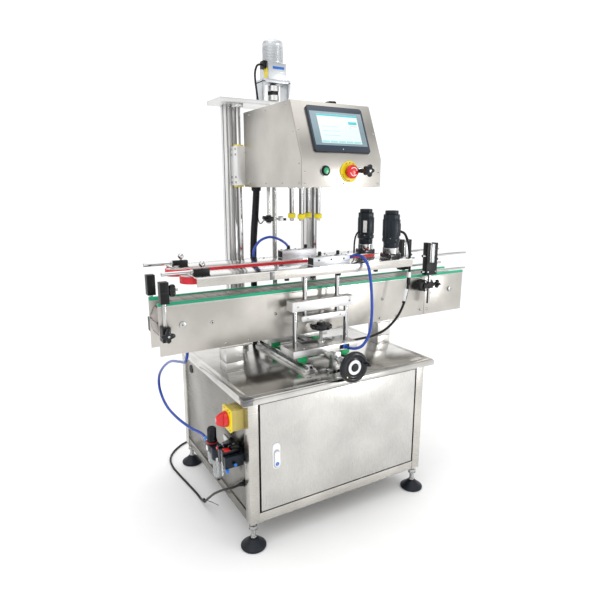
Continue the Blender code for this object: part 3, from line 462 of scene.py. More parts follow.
def stage():
    data = bpy.data.cameras.new("camera")
    data.lens = CAMERA_LENS
    data.sensor_width = 36.0
    view = bpy.data.objects.new("camera", data)
    view.location = CAMERA_AT
    view.rotation_euler = [math.radians(angle) for angle in CAMERA_TURN]
    bpy.context.scene.collection.objects.link(view)
    bpy.context.scene.camera = view
    bpy.context.scene.view_settings.view_transform = "Standard"
    world = bpy.data.worlds.new("studio")
    world.use_nodes = True
    bpy.context.scene.world = world
    tree = world.node_tree
    back = tree.nodes["Background"]
    place = tree.nodes.new("ShaderNodeTexCoord")
    split = tree.nodes.new("ShaderNodeSeparateXYZ")
    ramp = tree.nodes.new("ShaderNodeValToRGB")
    low, high = ramp.color_ramp.elements
    low.position, low.color = 0.34, (*[HORIZON] * 3, 1.0)
    high.position, high.color = 0.8, (*[ZENITH] * 3, 1.0)
    band = ramp.color_ramp.elements.new(0.52)
    band.color = (*[SKY_BAND] * 3, 1.0)
    tree.links.new(place.outputs["Generated"], split.inputs["Vector"])
    tree.links.new(split.outputs["Z"], ramp.inputs["Fac"])
    tree.links.new(ramp.outputs["Color"], back.inputs["Color"])
    back.inputs["Strength"].default_value = 1.0
    for name, at, aim, size, power in (("key", (-2.6, -1.6, 3.2), (0.0, 0.0, 0.7), (3.4, 3.4), 24.0),
            ("strip", (2.75, -4.0, 0.75), (0.0, -0.2, 0.3), (0.3, 1.3), 40.0),
            ("fill", (3.2, 1.6, 2.6), (0.0, 0.0, 0.4), (3.6, 3.6), 12.0),
            ("top", (-0.2, 0.4, 4.0), (0.0, 0.0, 0.0), (2.4, 2.4), 14.0)):
        lamp = bpy.data.lights.new(name, "AREA")
        lamp.shape = "RECTANGLE"
        lamp.size, lamp.size_y = size
        lamp.energy = power
        thing = bpy.data.objects.new(name, lamp)
        thing.location = at
        thing.rotation_euler = (Vector(aim) - Vector(at)).to_track_quat("-Z", "Y").to_euler()
        thing.visible_camera = False
        bpy.context.scene.collection.objects.link(thing)
    floor = solid("floor", [(finish("pale_floor", (0.9, 0.9, 0.9), 0.75, 0.0, None, 0.01, 40.0, 0.02),
        block((-14.0, 14.0), (-14.0, 14.0), (-0.02, -0.0006)))], 0.0, 1, False)


stage()


# Cords

def cord(name, body, look, route, diameter, stands_for, bend=None, ribs=0.0,
        sides=14):
    thing = solid(name, [(look, tube(route, diameter / 2.0, sides, ribs))], 0.0)
    if bend:
        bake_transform(thing)
    else:
        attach(thing, body)
    if stands_for:
        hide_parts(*stands_for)
    return thing


COIL_AT, PLUG_AT = (-0.19, 0.47), (-0.1275, 0.47)


def coil_points():
    """Two turns inwards on the floor, a quarter turn up, and nearly two turns outwards on top of them."""
    outer, inner, floor_z, top_z, over_z = 0.0568, 0.04, 0.0042, 0.0126, 0.0212
    points = []
    for step in range(1, 100):
        turns = step / 24.0
        angle = math.radians(135.0) - 2.0 * math.pi * turns
        if turns <= 2.0:
            radius, z = outer - (outer - inner) * turns / 2.0, floor_z
        elif turns <= 2.25:
            radius, z = inner, floor_z + (top_z - floor_z) * (turns - 2.0) / 0.25
        else:
            radius = inner + (outer - inner) * (turns - 2.25) / 1.875
            z = top_z + (over_z - top_z) * max(0.0, (turns - 3.93) / 0.195)
        points.append((COIL_AT[0] + radius * math.cos(angle), COIL_AT[1] + radius * math.sin(angle), z))
    swing = 0.0314
    top = (COIL_AT[0], COIL_AT[1] + outer)
    turn = math.radians(84.0)
    for step in range(1, 9):
        t = turn * step / 8.0
        points.append((top[0] + swing * math.sin(t), top[1] - swing * (1.0 - math.cos(t)), over_z))
    for step in range(7, -1, -1):
        t = turn * step / 8.0
        points.append((PLUG_AT[0] - swing * math.sin(t), PLUG_AT[1] + swing * (1.0 - math.cos(t)),
            over_z - 0.0004))
    return points


def cords():
    conduit = smooth_route([(-0.115, 0.085, 1.0987), (-0.115, 0.086, 1.07), (-0.112, 0.104, 1.0),
        (-0.105, 0.132, 0.93), (-0.101, 0.148, 0.86), (-0.1, 0.15, 0.78), (-0.1, 0.15, 0.68),
        (-0.1, 0.15, 0.59), (-0.1, 0.15, 0.5084)], 0.0013)
    cord("head_conduit_tube", None, CABLE, conduit, 0.025, ["head_conduit"],
        ("root", "head", (-0.1, 0.15, 0.52), (-0.115, 0.086, 1.085)), 0.0012, 20)
    air = smooth_route([(-0.3875, -0.0598, 0.28), (-0.3875, -0.04, 0.28), (-0.391, -0.01, 0.279),
        (-0.404, 0.04, 0.276), (-0.424, 0.13, 0.282), (-0.438, 0.215, 0.3), (-0.446, 0.266, 0.345),
        (-0.448, 0.262, 0.4), (-0.446, 0.205, 0.455), (-0.442, 0.115, 0.505), (-0.438, 0.02, 0.532),
        (-0.436, -0.03, 0.545), (-0.436, -0.056, 0.57), (-0.436, -0.062, 0.594), (-0.436, -0.062, 0.602),
        (-0.436, -0.062, 0.6095)], 0.006)
    cord("air_hose_tube", "root", BLUE, air, 0.01, ["air_hose"])
    hose = smooth_route([(0.0964, -0.17, 0.866), (0.107, -0.17, 0.866), (0.124, -0.184, 0.873),
        (0.134, -0.213, 0.868), (0.139, -0.236, 0.838), (0.142, -0.247, 0.79), (0.144, -0.253, 0.73),
        (0.143, -0.256, 0.665), (0.133, -0.257, 0.612), (0.112, -0.254, 0.578), (0.09, -0.246, 0.567),
        (0.074, -0.23, 0.566), (0.07, -0.206, 0.566)], 0.005)
    cord("clamp_hose_tube", None, BLUE, hose, 0.01, ["clamp_hose"],
        ("carriage_front", "clamp_front", (0.14, -0.25, 0.6), (0.14, -0.25, 0.83)))
    lead = smooth_route([(0.345, -0.14, 0.94), (0.356, -0.14, 0.94), (0.369, -0.152, 0.928),
        (0.374, -0.168, 0.885), (0.37, -0.18, 0.83), (0.364, -0.186, 0.768), (0.352, -0.186, 0.7),
        (0.328, -0.18, 0.64), (0.285, -0.172, 0.594), (0.23, -0.165, 0.572), (0.16, -0.16, 0.566),
        (0.1224, -0.16, 0.566)], 0.005)
    cord("motor_lead", None, CABLE, lead, 0.009, ["motor_cable"],
        ("carriage_front", "clamp_front", (0.36, -0.18, 0.62), (0.36, -0.18, 0.83)))
    gland = piece("supply_gland", "root",
        [(BLACK, hexagon("X", (-0.262, 0.2048), 0.02, (-0.3425, -0.3378))),
        (BLACK, turned("X", (-0.262, 0.2048), [(0.007, -0.3425), (0.0068, -0.35), (0.0046, -0.358)], 20))],
        (), 0.0004)
    plug = piece("supply_plug", "root",
        [(BLACK, block((-0.112, -0.0795), span(0.47, 0.019), (0.0002, 0.0318))),
        (BLACK, block((-0.118, -0.11), span(0.47, 0.0155), (0.004, 0.028))),
        (BLACK, turned("X", (0.47, 0.0204), [(0.0052, -0.1385), (0.0066, -0.126), (0.0085, -0.117)], 20)),
        (BRASS, block((-0.0805, -0.0618), span(0.461, 0.002), (0.012, 0.018))),
        (BRASS, block((-0.0805, -0.0618), span(0.479, 0.002), (0.012, 0.018)))], ["cord_plug"], 0.002, 3)
    knots = [(-0.3378, -0.262, 0.205), (-0.352, -0.262, 0.2045), (-0.374, -0.25, 0.194),
        (-0.388, -0.205, 0.166), (-0.393, -0.14, 0.118), (-0.392, -0.08, 0.068), (-0.389, -0.03, 0.027),
        (-0.387, 0.015, 0.0075), (-0.388, 0.06, 0.0045), (-0.396, 0.14, 0.0042), (-0.405, 0.22, 0.0042),
        (-0.409, 0.29, 0.0042), (-0.4, 0.35, 0.0042), (-0.372, 0.4, 0.0042), (-0.33, 0.44, 0.0042),
        (-0.285, 0.465, 0.0042), (-0.2555, 0.4855, 0.0042), (-0.2302, 0.5102, 0.0042)]
    supply = smooth_route(knots + coil_points(), 0.0045)
    tie = piece("cord_tie", "root",
        [(BLACK, ring("Y", (-0.389, 0.0268), 0.0042, 0.0058, (-0.0325, -0.0275), 24)),
        (BLACK, block((-0.3945, -0.3885), (-0.034, -0.026), (0.031, 0.0365))),
        (BLACK, bar((-0.392, -0.03, 0.035), (-0.372, -0.052, 0.029), 0.0011, 8)),
        (BLACK, bar((-0.372, -0.052, 0.029), (-0.352, -0.066, 0.0175), 0.001, 8))], (), 0.0003)
    cord("supply_lead", "root", CABLE, supply, 0.008, ["supply_cord", "cord_coil"])


cords()


# Cabinet, table and feet

def cabinet():
    z0, z1 = CABINET_Z
    inner_x, inner_y = CABINET_X - POST, CABINET_Y - POST
    parts = []
    for sx in (-1, 1):
        for sy in (-1, 1):
            parts.append((SATIN, block(sorted((sx * inner_x, sx * CABINET_X)),
                sorted((sy * inner_y, sy * CABINET_Y)), (z0, z1))))
    # Front and back rails take the stainless; side rails, side panels and the bottom plate take its
    # painted-shade copy.
    for low, high in ((z0 + 0.0005, 0.116), (0.4765, z1 - 0.0005)):
        for side in (-1, 1):
            parts += [(SATIN, block(span(0.0, inner_x + 0.001),
                sorted((side * inner_y, side * (CABINET_Y - 0.001))), (low, high))),
                (SHADED_SIDE_STAINLESS, block(sorted((side * inner_x, side * (CABINET_X - 0.001))), span(0.0, inner_y + 0.001),
                (low, high)))]
    for side in (-1, 1):
        parts.append((SHADED_SIDE_STAINLESS, block(sorted((side * (CABINET_X - RECESS), side * (CABINET_X - RECESS - 0.0015))),
            span(0.0, inner_y + 0.002), (0.1145, 0.478))))
        for y in (-0.268, 0.268):
            for z in (0.128, 0.298, 0.468):
                parts += screw_head("X", (y, z), side * (CABINET_X - RECESS),
                    side * (CABINET_X - RECESS + 0.0014))
    back = CABINET_Y - RECESS
    parts += [(SATIN, block(span(0.0, inner_x + 0.002), (back - 0.0015, back), (0.1145, 0.478))),
        (SHADED_SIDE_STAINLESS, block(span(0.0, inner_x + 0.002), span(0.0, inner_y + 0.002), (0.09, 0.0925)))]
    for x in (-0.3, 0.0, 0.3):
        for z in (0.126, 0.468):
            parts += screw_head("Y", (x, z), back, back + 0.0014)
    # Painted shade: six dark strips for the back panel's vent slots.
    for row in range(6):
        parts.append((RECESS_SHADE, block((-0.06, 0.06), (back - 0.0004, back + 0.0003),
            span(0.4 - row * 0.014, 0.0022))))
    # Painted shade: a dark disc for the hole in the left side panel, in a black ring.
    parts += [(RECESS_SHADE, rod("X", (0.215, 0.427), 0.0138, (-0.3379, -0.3368))),
        (BLACK, ring("X", (0.215, 0.427), 0.013, 0.0162, (-0.3392, -0.3372)))]
    piece("cabinet", "root", parts, ["cabinet_body"], 0.0012)


def table():
    def rectangle(inset, z):
        x, y = TABLE_X - inset, TABLE_Y - inset
        return [(-x, -y, z), (x, -y, z), (x, y, z), (-x, y, z)]
    z0, z1 = TABLE_Z
    sheet = lofted([rectangle(0.0025, z0), rectangle(0.0, z0), rectangle(0.0, z1 - 0.0075),
        rectangle(0.0045, z1 - 0.0006), rectangle(0.0065, z1), rectangle(0.022, z1),
        rectangle(0.0225, z1 - 0.0012), rectangle(0.0235, z1 - 0.0012), rectangle(0.024, z1)])
    parts = [(TABLE, sheet)]
    # Painted dark reflection on the table's front left corner, over the top and both rim faces.
    painted_reflection_patch = [(-TABLE_X + 0.0002, -TABLE_Y + 0.0002)]
    for step in range(13):
        angle = math.pi / 2.0 * step / 12.0
        painted_reflection_patch.append((-TABLE_X + 0.034 * math.cos(angle), -TABLE_Y + 0.034 * math.sin(angle)))
    parts += [(DARK_MARK_AND_PAINTED_REFLECTION, prism("Z", [(x + 0.0005, y + 0.0005) for x, y in painted_reflection_patch], z1 - 0.0075, z1 + 0.0003)),
        (DARK_MARK_AND_PAINTED_REFLECTION, block((-TABLE_X - 0.0002, -TABLE_X + 0.03), (-TABLE_Y - 0.0003, -TABLE_Y + 0.001),
        (z0 + 0.002, z1 - 0.0065))), (DARK_MARK_AND_PAINTED_REFLECTION, block((-TABLE_X - 0.0003, -TABLE_X + 0.001),
        (-TABLE_Y - 0.0002, -TABLE_Y + 0.022), (z0 + 0.002, z1 - 0.0065))),
        (MILLED, block(span(STAND_X, 0.015), (-0.268, -0.246), (z1, 0.574))),
        (MILLED, block(span(STAND_X, 0.028), (-0.268, -0.246), (z1, z1 + 0.007))),
        (STEEL, ring("Y", (STAND_X, SCREW_Z), 0.0083, 0.0125, (-0.2695, -0.2675)))]
    for x in (STAND_X - 0.022, STAND_X + 0.022):
        parts += screw_head("Z", (x, -0.257), z1 + 0.007, z1 + 0.011, 0.0036)
    for x in (-0.3, -0.2, 0.22, 0.31):
        parts += screw_head("Z", (x, -0.318), z1 - 0.0002, z1 + 0.001, 0.003)
    piece("table", "root", parts, ["table_top"], 0.0006)


def feet():
    for name, x, y in (("foot_front_left", -1, -1), ("foot_front_right", 1, -1), ("foot_rear_left", -1, 1),
            ("foot_rear_right", 1, 1)):
        at = (x * 0.3255, y * 0.2925)
        pad = turned("Z", at, [(0.0385, 0.0002), (0.04, 0.002), (0.04, 0.0065), (0.0375, 0.009),
            (0.028, 0.015), (0.019, 0.0235), (0.0155, 0.0275), (0.012, 0.0295), (0.008, 0.03)], 48)
        thread = [(0.0068, 0.028)]
        for turn in range(16):
            z = 0.03 + turn * 0.0034
            thread += [(0.0079, z + 0.0004), (0.0079, z + 0.0016), (0.0066, z + 0.0022), (0.0066, z + 0.0032)]
        parts = [(RUBBER, pad), (STEEL, turned("Z", at, thread, 24)),
            (STEEL, hexagon("Z", at, 0.024, (0.0625, 0.0735))), (STEEL, rod("Z", at, 0.0138, (0.06, 0.0625))),
            (STEEL, hexagon("Z", at, 0.018, (0.03, 0.037)))]
        piece(name + "_foot", "root", parts, [name], 0.0004)


def door():
    front = -CABINET_Y
    plate = upright(stadium(LATCH[1] - 0.029, LATCH[1] + 0.029, LATCH[0], 0.013, 18))
    lip = upright(stadium(LATCH[1] - 0.0295, LATCH[1] + 0.0125, LATCH[0], 0.0098, 16))
    parts = [(DOOR_SATIN, block(span(0.0, DOOR_X), (front, front + 0.0016), DOOR_Z)),
        (WHITE, prism("Y", plate, front - 0.003, front + 0.0002)),
        (GREY, prism("Y", lip, front - 0.0034, front - 0.0028))]
    for side in (-1, 1):
        parts += [(DOOR_SATIN, block(sorted((side * DOOR_X, side * (DOOR_X - 0.0015))),
            (front + 0.001, front + DOOR_DEPTH), DOOR_Z)),
            (STEEL, block(sorted((side * 0.15, side * 0.17)), (front + 0.0016, front + 0.006),
            (DOOR_Z[0] + 0.01, DOOR_Z[1] - 0.01)))]
    for z in DOOR_Z:
        inside = z + (0.0015 if z == DOOR_Z[0] else -0.0015)
        parts.append((DOOR_SATIN, block(span(0.0, DOOR_X), (front + 0.001, front + DOOR_DEPTH),
            sorted((z, inside)))))
    piece("door_skin", "cabinet_door", parts, ["door"], 0.0008)
    paddle = upright(stadium(LATCH[1] - 0.0255, LATCH[1] + 0.0085, LATCH[0], 0.0078, 16))
    piece("latch_paddle", "door_latch",
        [(WHITE, prism("Y", paddle, front - 0.008, front - 0.0036)),
        (SKY, rod("Y", (LATCH[0], LATCH[1] - 0.024), 0.0062, (front - 0.0086, front - 0.0078), 28)),
        (STEEL, rod("Y", (LATCH[0], LATCH[1] - 0.024), 0.002, (front - 0.0089, front - 0.0084), 16))],
        ["door_handle"], 0.0012, 3)


def switch():
    y, z = -0.247, 0.425
    half_y, half_z, cut = 0.033, 0.036, 0.006
    plate = [(y - half_y + cut, z - half_z), (y + half_y - cut, z - half_z), (y + half_y, z - half_z + cut),
        (y + half_y, z + half_z - cut), (y + half_y - cut, z + half_z), (y - half_y + cut, z + half_z),
        (y - half_y, z + half_z - cut), (y - half_y, z - half_z + cut)]
    # The box body behind the yellow plate takes the painted-shade yellow.
    parts = [(SHADED_SWITCH_YELLOW, block((-0.38, -0.3376), span(y, 0.0285), span(z, 0.032))),
        (SHADED_SWITCH_YELLOW, block((-0.364, -0.36), span(y, 0.0292), span(z, 0.0327))),
        (YELLOW, prism("X", plate, -0.384, -0.3795)), (YELLOW,
        ring("X", (y, z), 0.0225, 0.029, (-0.385, -0.3838)))]
    for dy, dz in ((-0.0255, -0.0285), (0.0255, -0.0285), (-0.0255, 0.0285), (0.0255, 0.0285)):
        parts.append((DARK_MARK_AND_PAINTED_REFLECTION, rod("X", (y + dy, z + dz), 0.0026, (-0.3843, -0.3838), 16)))
    for dy in (-0.012, 0.012):
        parts.append((RED, block((-0.3843, -0.3838), span(y + dy, 0.0035), span(z + 0.031, 0.0018))))
    piece("switch_housing", "root", parts, ["main_switch_box"], 0.0008)
    front = -0.3843
    dial = [(0.0235, front), (0.024, front - 0.004), (0.0228, front - 0.0115), (0.0205, front - 0.013)]
    grip = lofted([[(front - depth, y + sy * wy, z + sz * wz) for sy,
        sz in ((-1, -1), (1, -1), (1, 1), (-1, 1))] for depth, wy,
        wz in ((0.0115, 0.0085, 0.0215), (0.02, 0.007, 0.019), (0.0335, 0.004, 0.011))])
    piece("switch_dial", "main_switch", [(RED, turned("X", (y, z), dial, 48)), (RED, grip),
        (WHITE, block((front - 0.0338, front - 0.0332), span(y, 0.0012), (z - 0.002, z + 0.009)))],
        ["main_switch_knob"], 0.001, 3)


def air_service():
    x, wall = -0.3875, -0.3378
    parts = [(PAINT, block((-0.396, wall), (-0.268, -0.198), (0.282, 0.308))),
        (PAINT, block((-0.4035, -0.344), (-0.2745, -0.26), (0.276, 0.312))),
        (GLOSS, block((-0.4035, -0.348), (-0.256, -0.238), (0.29, 0.3245))),
        (PAINT, block((-0.4035, -0.352), (-0.234, -0.218), (0.274, 0.318))),
        (GLOSS, block((-0.4, -0.356), (-0.214, -0.199), (0.28, 0.322))),
        (STEEL, turned("X", (-0.247, 0.282), [(0.0075, -0.396), (0.008, -0.401), (0.008, -0.404)], 6)),
        (STEEL, turned("X", (-0.206, 0.276), [(0.006, -0.399), (0.0068, -0.403), (0.005, -0.406)], 20)),
        (STEEL, turned("Z", (-0.37, -0.226), [(0.0058, 0.317), (0.0058, 0.325), (0.004, 0.3265)], 6)),
        (RED, block((-0.399, -0.38), (-0.259, -0.24), (0.324, 0.3262))),
        (RED, block((-0.4038, -0.399), (-0.212, -0.201), (0.311, 0.3175))),
        (GLOSS, bar(Vector((-0.378, -0.206, 0.318)), Vector((-0.368, -0.242, 0.348)), 0.0095, 20)),
        (STEEL, bar(Vector((-0.3785, -0.204, 0.316)), Vector((-0.3765, -0.211, 0.322)), 0.0106, 20)),
        (SKY, bar(Vector((-0.396, -0.26, 0.274)), Vector((-0.399, -0.282, 0.27)), 0.0052, 16)),
        (BLACK, bar(Vector((-0.394, -0.25, 0.276)), Vector((-0.3962, -0.262, 0.2736)), 0.0062, 16)),
        (SKY, bar(Vector((-0.37, -0.212, 0.32)), Vector((-0.37, -0.212, 0.33)), 0.0046, 16)),
        (STEEL, block((-0.342, wall), (-0.19, -0.105), (0.262, 0.302))),
        (PAINT, turned("Z", (x, -0.172), [(0.0205, 0.2615), (0.021, 0.266), (0.021, 0.2935),
        (0.0185, 0.298)])), (PAINT, block((-0.3875, -0.345), (-0.186, -0.158), (0.266, 0.294))),
        (PAINT, block(span(x, 0.017), (-0.157, -0.103), (0.27, 0.294))),
        (PAINT, turned("Z", (x, -0.1225), [(0.0178, 0.268), (0.0178, 0.2925), (0.0165, 0.2958)])),
        (RED, turned("Z", (x, -0.1225), [(0.0165, 0.2932), (0.0178, 0.294), (0.0178, 0.2955),
        (0.0168, 0.296)])), (CLEAR, turned("Z", (x, -0.172),
        [(0.0175, 0.262), (0.0175, 0.24), (0.0165, 0.205), (0.0135, 0.196), (0.006, 0.191)])),
        (BLACK, turned("Z", (x, -0.172), [(0.006, 0.193), (0.0058, 0.186), (0.0035, 0.183)], 20)),
        (STEEL, rod("Z", (x, -0.172), 0.006, (0.2, 0.262), 20)),
        (CLEAR, turned("Z", (x, -0.1225), [(0.0155, 0.27), (0.0155, 0.246), (0.014, 0.226), (0.01, 0.219),
        (0.005, 0.217)])), (BLACK, turned("Z", (x, -0.1225), [(0.005, 0.219), (0.0045, 0.2145)], 20)),
        (SKY, turned("Y", (x, 0.28), [(0.008, -0.103), (0.0084, -0.095), (0.0084, -0.07), (0.007, -0.0606)],
        24)), (LABEL, rod("Y", (x, 0.28), 0.0085, (-0.09, -0.084), 24)),
        (BLACK, rod("Y", (-0.376, 0.29), 0.0056, (-0.285, -0.274), 20)),
        (SKY, turned("Y", (-0.376, 0.29), [(0.004, -0.289), (0.005, -0.288), (0.005, -0.284)], 20))]
    for row in range(8):
        turn = 2.0 * math.pi * row / 8.0
        rib_x, rib_y = x + 0.0172 * math.cos(turn), -0.172 + 0.0172 * math.sin(turn)
        parts.append((CLEAR, rod("Z", (rib_x, rib_y), 0.0014, (0.214, 0.258), 8)))
    for y in (-0.262, -0.21):
        parts += screw_head("X", (y, 0.279), -0.399, -0.4015, 0.0024)
    parts += [(STEEL, turned("X", (-0.131, 0.282), [(0.0095, -0.4035), (0.0095, -0.408), (0.0085, -0.409)],
        24)), (WHITE, rod("X", (-0.131, 0.282), 0.0078, (-0.4094, -0.4088), 24)),
        (RED, block((-0.4097, -0.4092), (-0.1316, -0.1304), (0.282, 0.288)))]
    piece("air_service_unit", "root", parts, ["air_unit"], 0.0008)
    foot = lobed((x, -0.1225), 0.0164, 24, 0.0012, 96)
    head = lobed((x, -0.1225), 0.0148, 24, 0.0012, 96)
    top = lobed((x, -0.1225), 0.0112, 24, 0.0006, 96)
    knob = lofted([[(u, v, z) for u, v in outline] for outline,
        z in ((foot, 0.2963), (foot, 0.303), (head, 0.305), (head, 0.34), (top, 0.345))])
    piece("regulator_cap", "regulator", [(GLOSS, knob)], ["regulator_knob"], 0.0)


def control_gear():
    y = 0.2685
    parts = [(LABEL, block(span(0.0, 0.23), (y, 0.271), (0.15, 0.44))),
        (BLACK, block((-0.21, -0.11), (0.152, 0.268), (0.25, 0.42))),
        (GREY, block((-0.204, -0.116), (0.15, 0.153), (0.33, 0.41))),
        (RECESS_SHADE, block((-0.196, -0.15), (0.1492, 0.1505), (0.38, 0.4))),
        (GREY, block((-0.08, 0.06), (0.191, 0.268), (0.3, 0.41))),
        (CAST, block((0.09, 0.21), (0.171, 0.268), (0.28, 0.42))),
        (STEEL, block((-0.205, 0.205), (0.262, 0.268), (0.185, 0.22)))]
    for row in range(14):
        left = -0.2 + row * 0.0285
        parts.append(((LABEL, GREY, LABEL, SKY)[row % 4],
            block((left, left + 0.026), (0.216, 0.266), (0.181, 0.224))))
        parts += screw_head("Y", (left + 0.013, 0.215), 0.216, 0.2152, 0.003)
    for row in range(7):
        parts.append((RECESS_SHADE, block((0.1, 0.2), (0.1702, 0.1712), span(0.3 + row * 0.016, 0.003))))
    for x in (-0.2, 0.2):
        for z in (0.165, 0.43):
            parts.append((STEEL, rod("Y", (x, z), 0.006, (0.27, 0.3025), 20)))
    piece("control_gear", "root", parts, ["control_plate"], 0.0012)


cabinet()
table()
feet()
door()
switch()
air_service()
control_gear()


# Conveyor

def conveyor():
    front = PATH_Y - PLATE_OUT
    left, right = BELTWAY
    parts = []
    for half in (same, mirrored):
        def add(look, shape):
            parts.append((look, half(shape)))
        add(HEAD, block((left, 0.5103), (front, front + PLATE_THICK), PLATE_Z))
        add(HEAD, block((0.5117, right), (front, front + PLATE_THICK), PLATE_Z))
        add(DARK_MARK_AND_PAINTED_REFLECTION, block((0.51, 0.512), (front + 0.0008, front + PLATE_THICK), PLATE_Z))
        add(SATIN, block((left + 0.075, right - 0.075), (front + 0.0025, front + 0.0195), (0.748, 0.7565)))
        add(GREEN_STRIP, block((left + 0.0005, right - 0.0005), (front - 0.0015, front + 0.0075),
            (0.758, 0.7675)))
        add(SATIN, block((left, right), (front - 0.0004, front + 0.0004), (0.7535, 0.758)))
        for x in (-0.37, -0.15, 0.09, 0.3, 0.54):
            for look, shape in screw_head("Y", (x, 0.69), front, front - 0.0035, 0.0058):
                add(look, shape)
        for x in (0.495, 0.527):
            for look, shape in screw_head("Y", (x, 0.625), front, front - 0.003, 0.0046):
                add(look, shape)
        for x in LEG_X:
            for dx in (-0.04, 0.04):
                for look, shape in screw_head("Y", (x + dx, 0.616), front, front - 0.003, 0.0042):
                    add(look, shape)
        add(BLACK, block((-0.533, -0.509), (front - 0.0315, front - 0.0002), (0.6555, 0.6995)))
        add(STEEL, rod("Z", (-0.521, front - 0.0205), 0.006, (0.69, 0.78), 24))
        add(BLACK, block((-0.5335, -0.5085), (front - 0.034, front - 0.007), (0.7705, 0.8335)))
        add(RECESS_SHADE, block((-0.5337, -0.5083), (front - 0.0345, front - 0.034), (0.801, 0.803)))
        add(BLACK, turned("Y", (0.474, 0.7265), [(0.0205, front), (0.0205, front - 0.022),
            (0.0175, front - 0.026), (0.015, front - 0.029)], 40))
        add(BLACK, turned("X", (front - 0.0195, 0.727),
            [(0.015, 0.474), (0.015, 0.49), (0.0095, 0.506), (0.0095, 0.524), (0.011, 0.531)], 32))
        add(BLACK, block((0.5, 0.525), (front - 0.03, front - 0.01), (0.715, 0.739)))
        for z in (0.712, 0.742):
            add(BLACK, rod("Y", (0.486, z), 0.0072, (front - 0.03, front - 0.0002), 24))
            for look, shape in screw_head("Y", (0.486, z), front - 0.03, front - 0.033, 0.0042, PAINTED_REFLECTION_CHROME):
                add(look, shape)
    for x in (-0.37, -0.15, 0.09, 0.3, 0.54):
        parts.append((STEEL, rod("Y", (x, 0.69), 0.009, span(PATH_Y, PLATE_OUT - 0.001), 24)))
    for x in LEG_X:
        parts += [(SATIN, block(span(x, 0.055), span(PATH_Y, PLATE_OUT - 0.0005), (0.598, 0.606))),
            (LEG, block(span(x, 0.03), span(PATH_Y, 0.03), (0.54, 0.5985))),
            (LEG, block(span(x, 0.03), span(PATH_Y, 0.03), (0.5095, 0.5386))),
            (RECESS_SHADE, block(span(x, 0.0285), span(PATH_Y, 0.0285), (0.538, 0.5405))),
            (STEEL, block(span(x, 0.0305), span(PATH_Y, 0.0305), (0.5083, 0.51)))]
    parts += [(SATIN, block(span(-0.436, 0.012), span(PATH_Y, PLATE_OUT - 0.0005), (0.615, 0.623))),
        (SKY, turned("Z", (-0.436, -0.062), [(0.0064, 0.6), (0.0078, 0.6015), (0.0078, 0.611),
        (0.007, 0.612)], 24)), (STEEL, hexagon("Z", (-0.436, -0.062), 0.015, (0.6115, 0.6155)))]
    back = PATH_Y + PLATE_OUT
    parts += [(CAST, block((0.6105, 0.6795), (back, back + 0.064), (0.6555, 0.7345))),
        (CAST, rod("Y", (0.645, 0.695), 0.03, (back + 0.06, back + 0.073)))]
    body = [(0.033, back + 0.072)]
    for fin in range(14):
        along = back + 0.08 + fin * 0.006
        body += [(0.0312, along - 0.0006), (0.0335, along), (0.0335, along + 0.0024), (0.0312, along + 0.003)]
    body += [(0.0335, back + 0.164), (0.0335, back + 0.18), (0.03, back + 0.1845)]
    parts += [(CAST, turned("Y", (0.645, 0.695), body, 40)),
        (BLACK, block((0.63, 0.66), (back + 0.095, back + 0.145), (0.722, 0.734)))]
    for x in (0.6175, 0.6725):
        for z in (0.6625, 0.7275):
            parts += screw_head("Y", (x, z), back + 0.064, back + 0.067, 0.004)
    piece("conveyor", "root", parts, ["conveyor_frame"], 0.0006)


def chain_place(along):
    """Point and direction at a distance along the chain's middle line, from the left end of the top run."""
    middle = CHAIN_OUT - 0.002
    run = SPROCKET_X[1] - SPROCKET_X[0]
    arc = math.pi * middle
    along %= 2.0 * (run + arc)
    if along < run:
        return (SPROCKET_X[0] + along, SPROCKET_Z + middle, 0.0)
    along -= run
    if along < arc:
        angle = along / middle
        return (SPROCKET_X[1] + middle * math.sin(angle), SPROCKET_Z + middle * math.cos(angle), angle)
    along -= arc
    if along < run:
        return (SPROCKET_X[1] - along, SPROCKET_Z - middle, math.pi)
    angle = (along - run) / middle
    return (SPROCKET_X[0] - middle * math.sin(angle), SPROCKET_Z - middle * math.cos(angle), math.pi + angle)


def chain():
    run = 2.0 * (SPROCKET_X[1] - SPROCKET_X[0] + math.pi * (CHAIN_OUT - 0.002))
    count = round(run / 0.0381)
    parts = []
    for link in range(count):
        x, z, turn = chain_place(run * link / count)
        turned_by = Matrix.Translation((x, 0.0, z)) @ Matrix.Rotation(turn, 4, "Y")
        half = 0.0183 if turn in (0.0, math.pi) else 0.0168
        parts.append((SLAT, moved(block((-half, half), span(PATH_Y, CHAIN_HALF), (-0.0019, 0.0019)),
            turned_by)))
        for y in (-0.018, 0.018):
            parts.append((SLAT, moved(rod("Y", (0.0, -0.0032), 0.0028, span(PATH_Y + y, 0.01), 12),
                turned_by)))
        parts.append((STEEL, moved(rod("Y", (0.0185, -0.0024), 0.0014, span(PATH_Y, 0.03), 10), turned_by)))
    piece("slat_links", "root", parts, ["slat_chain"], 0.0005)


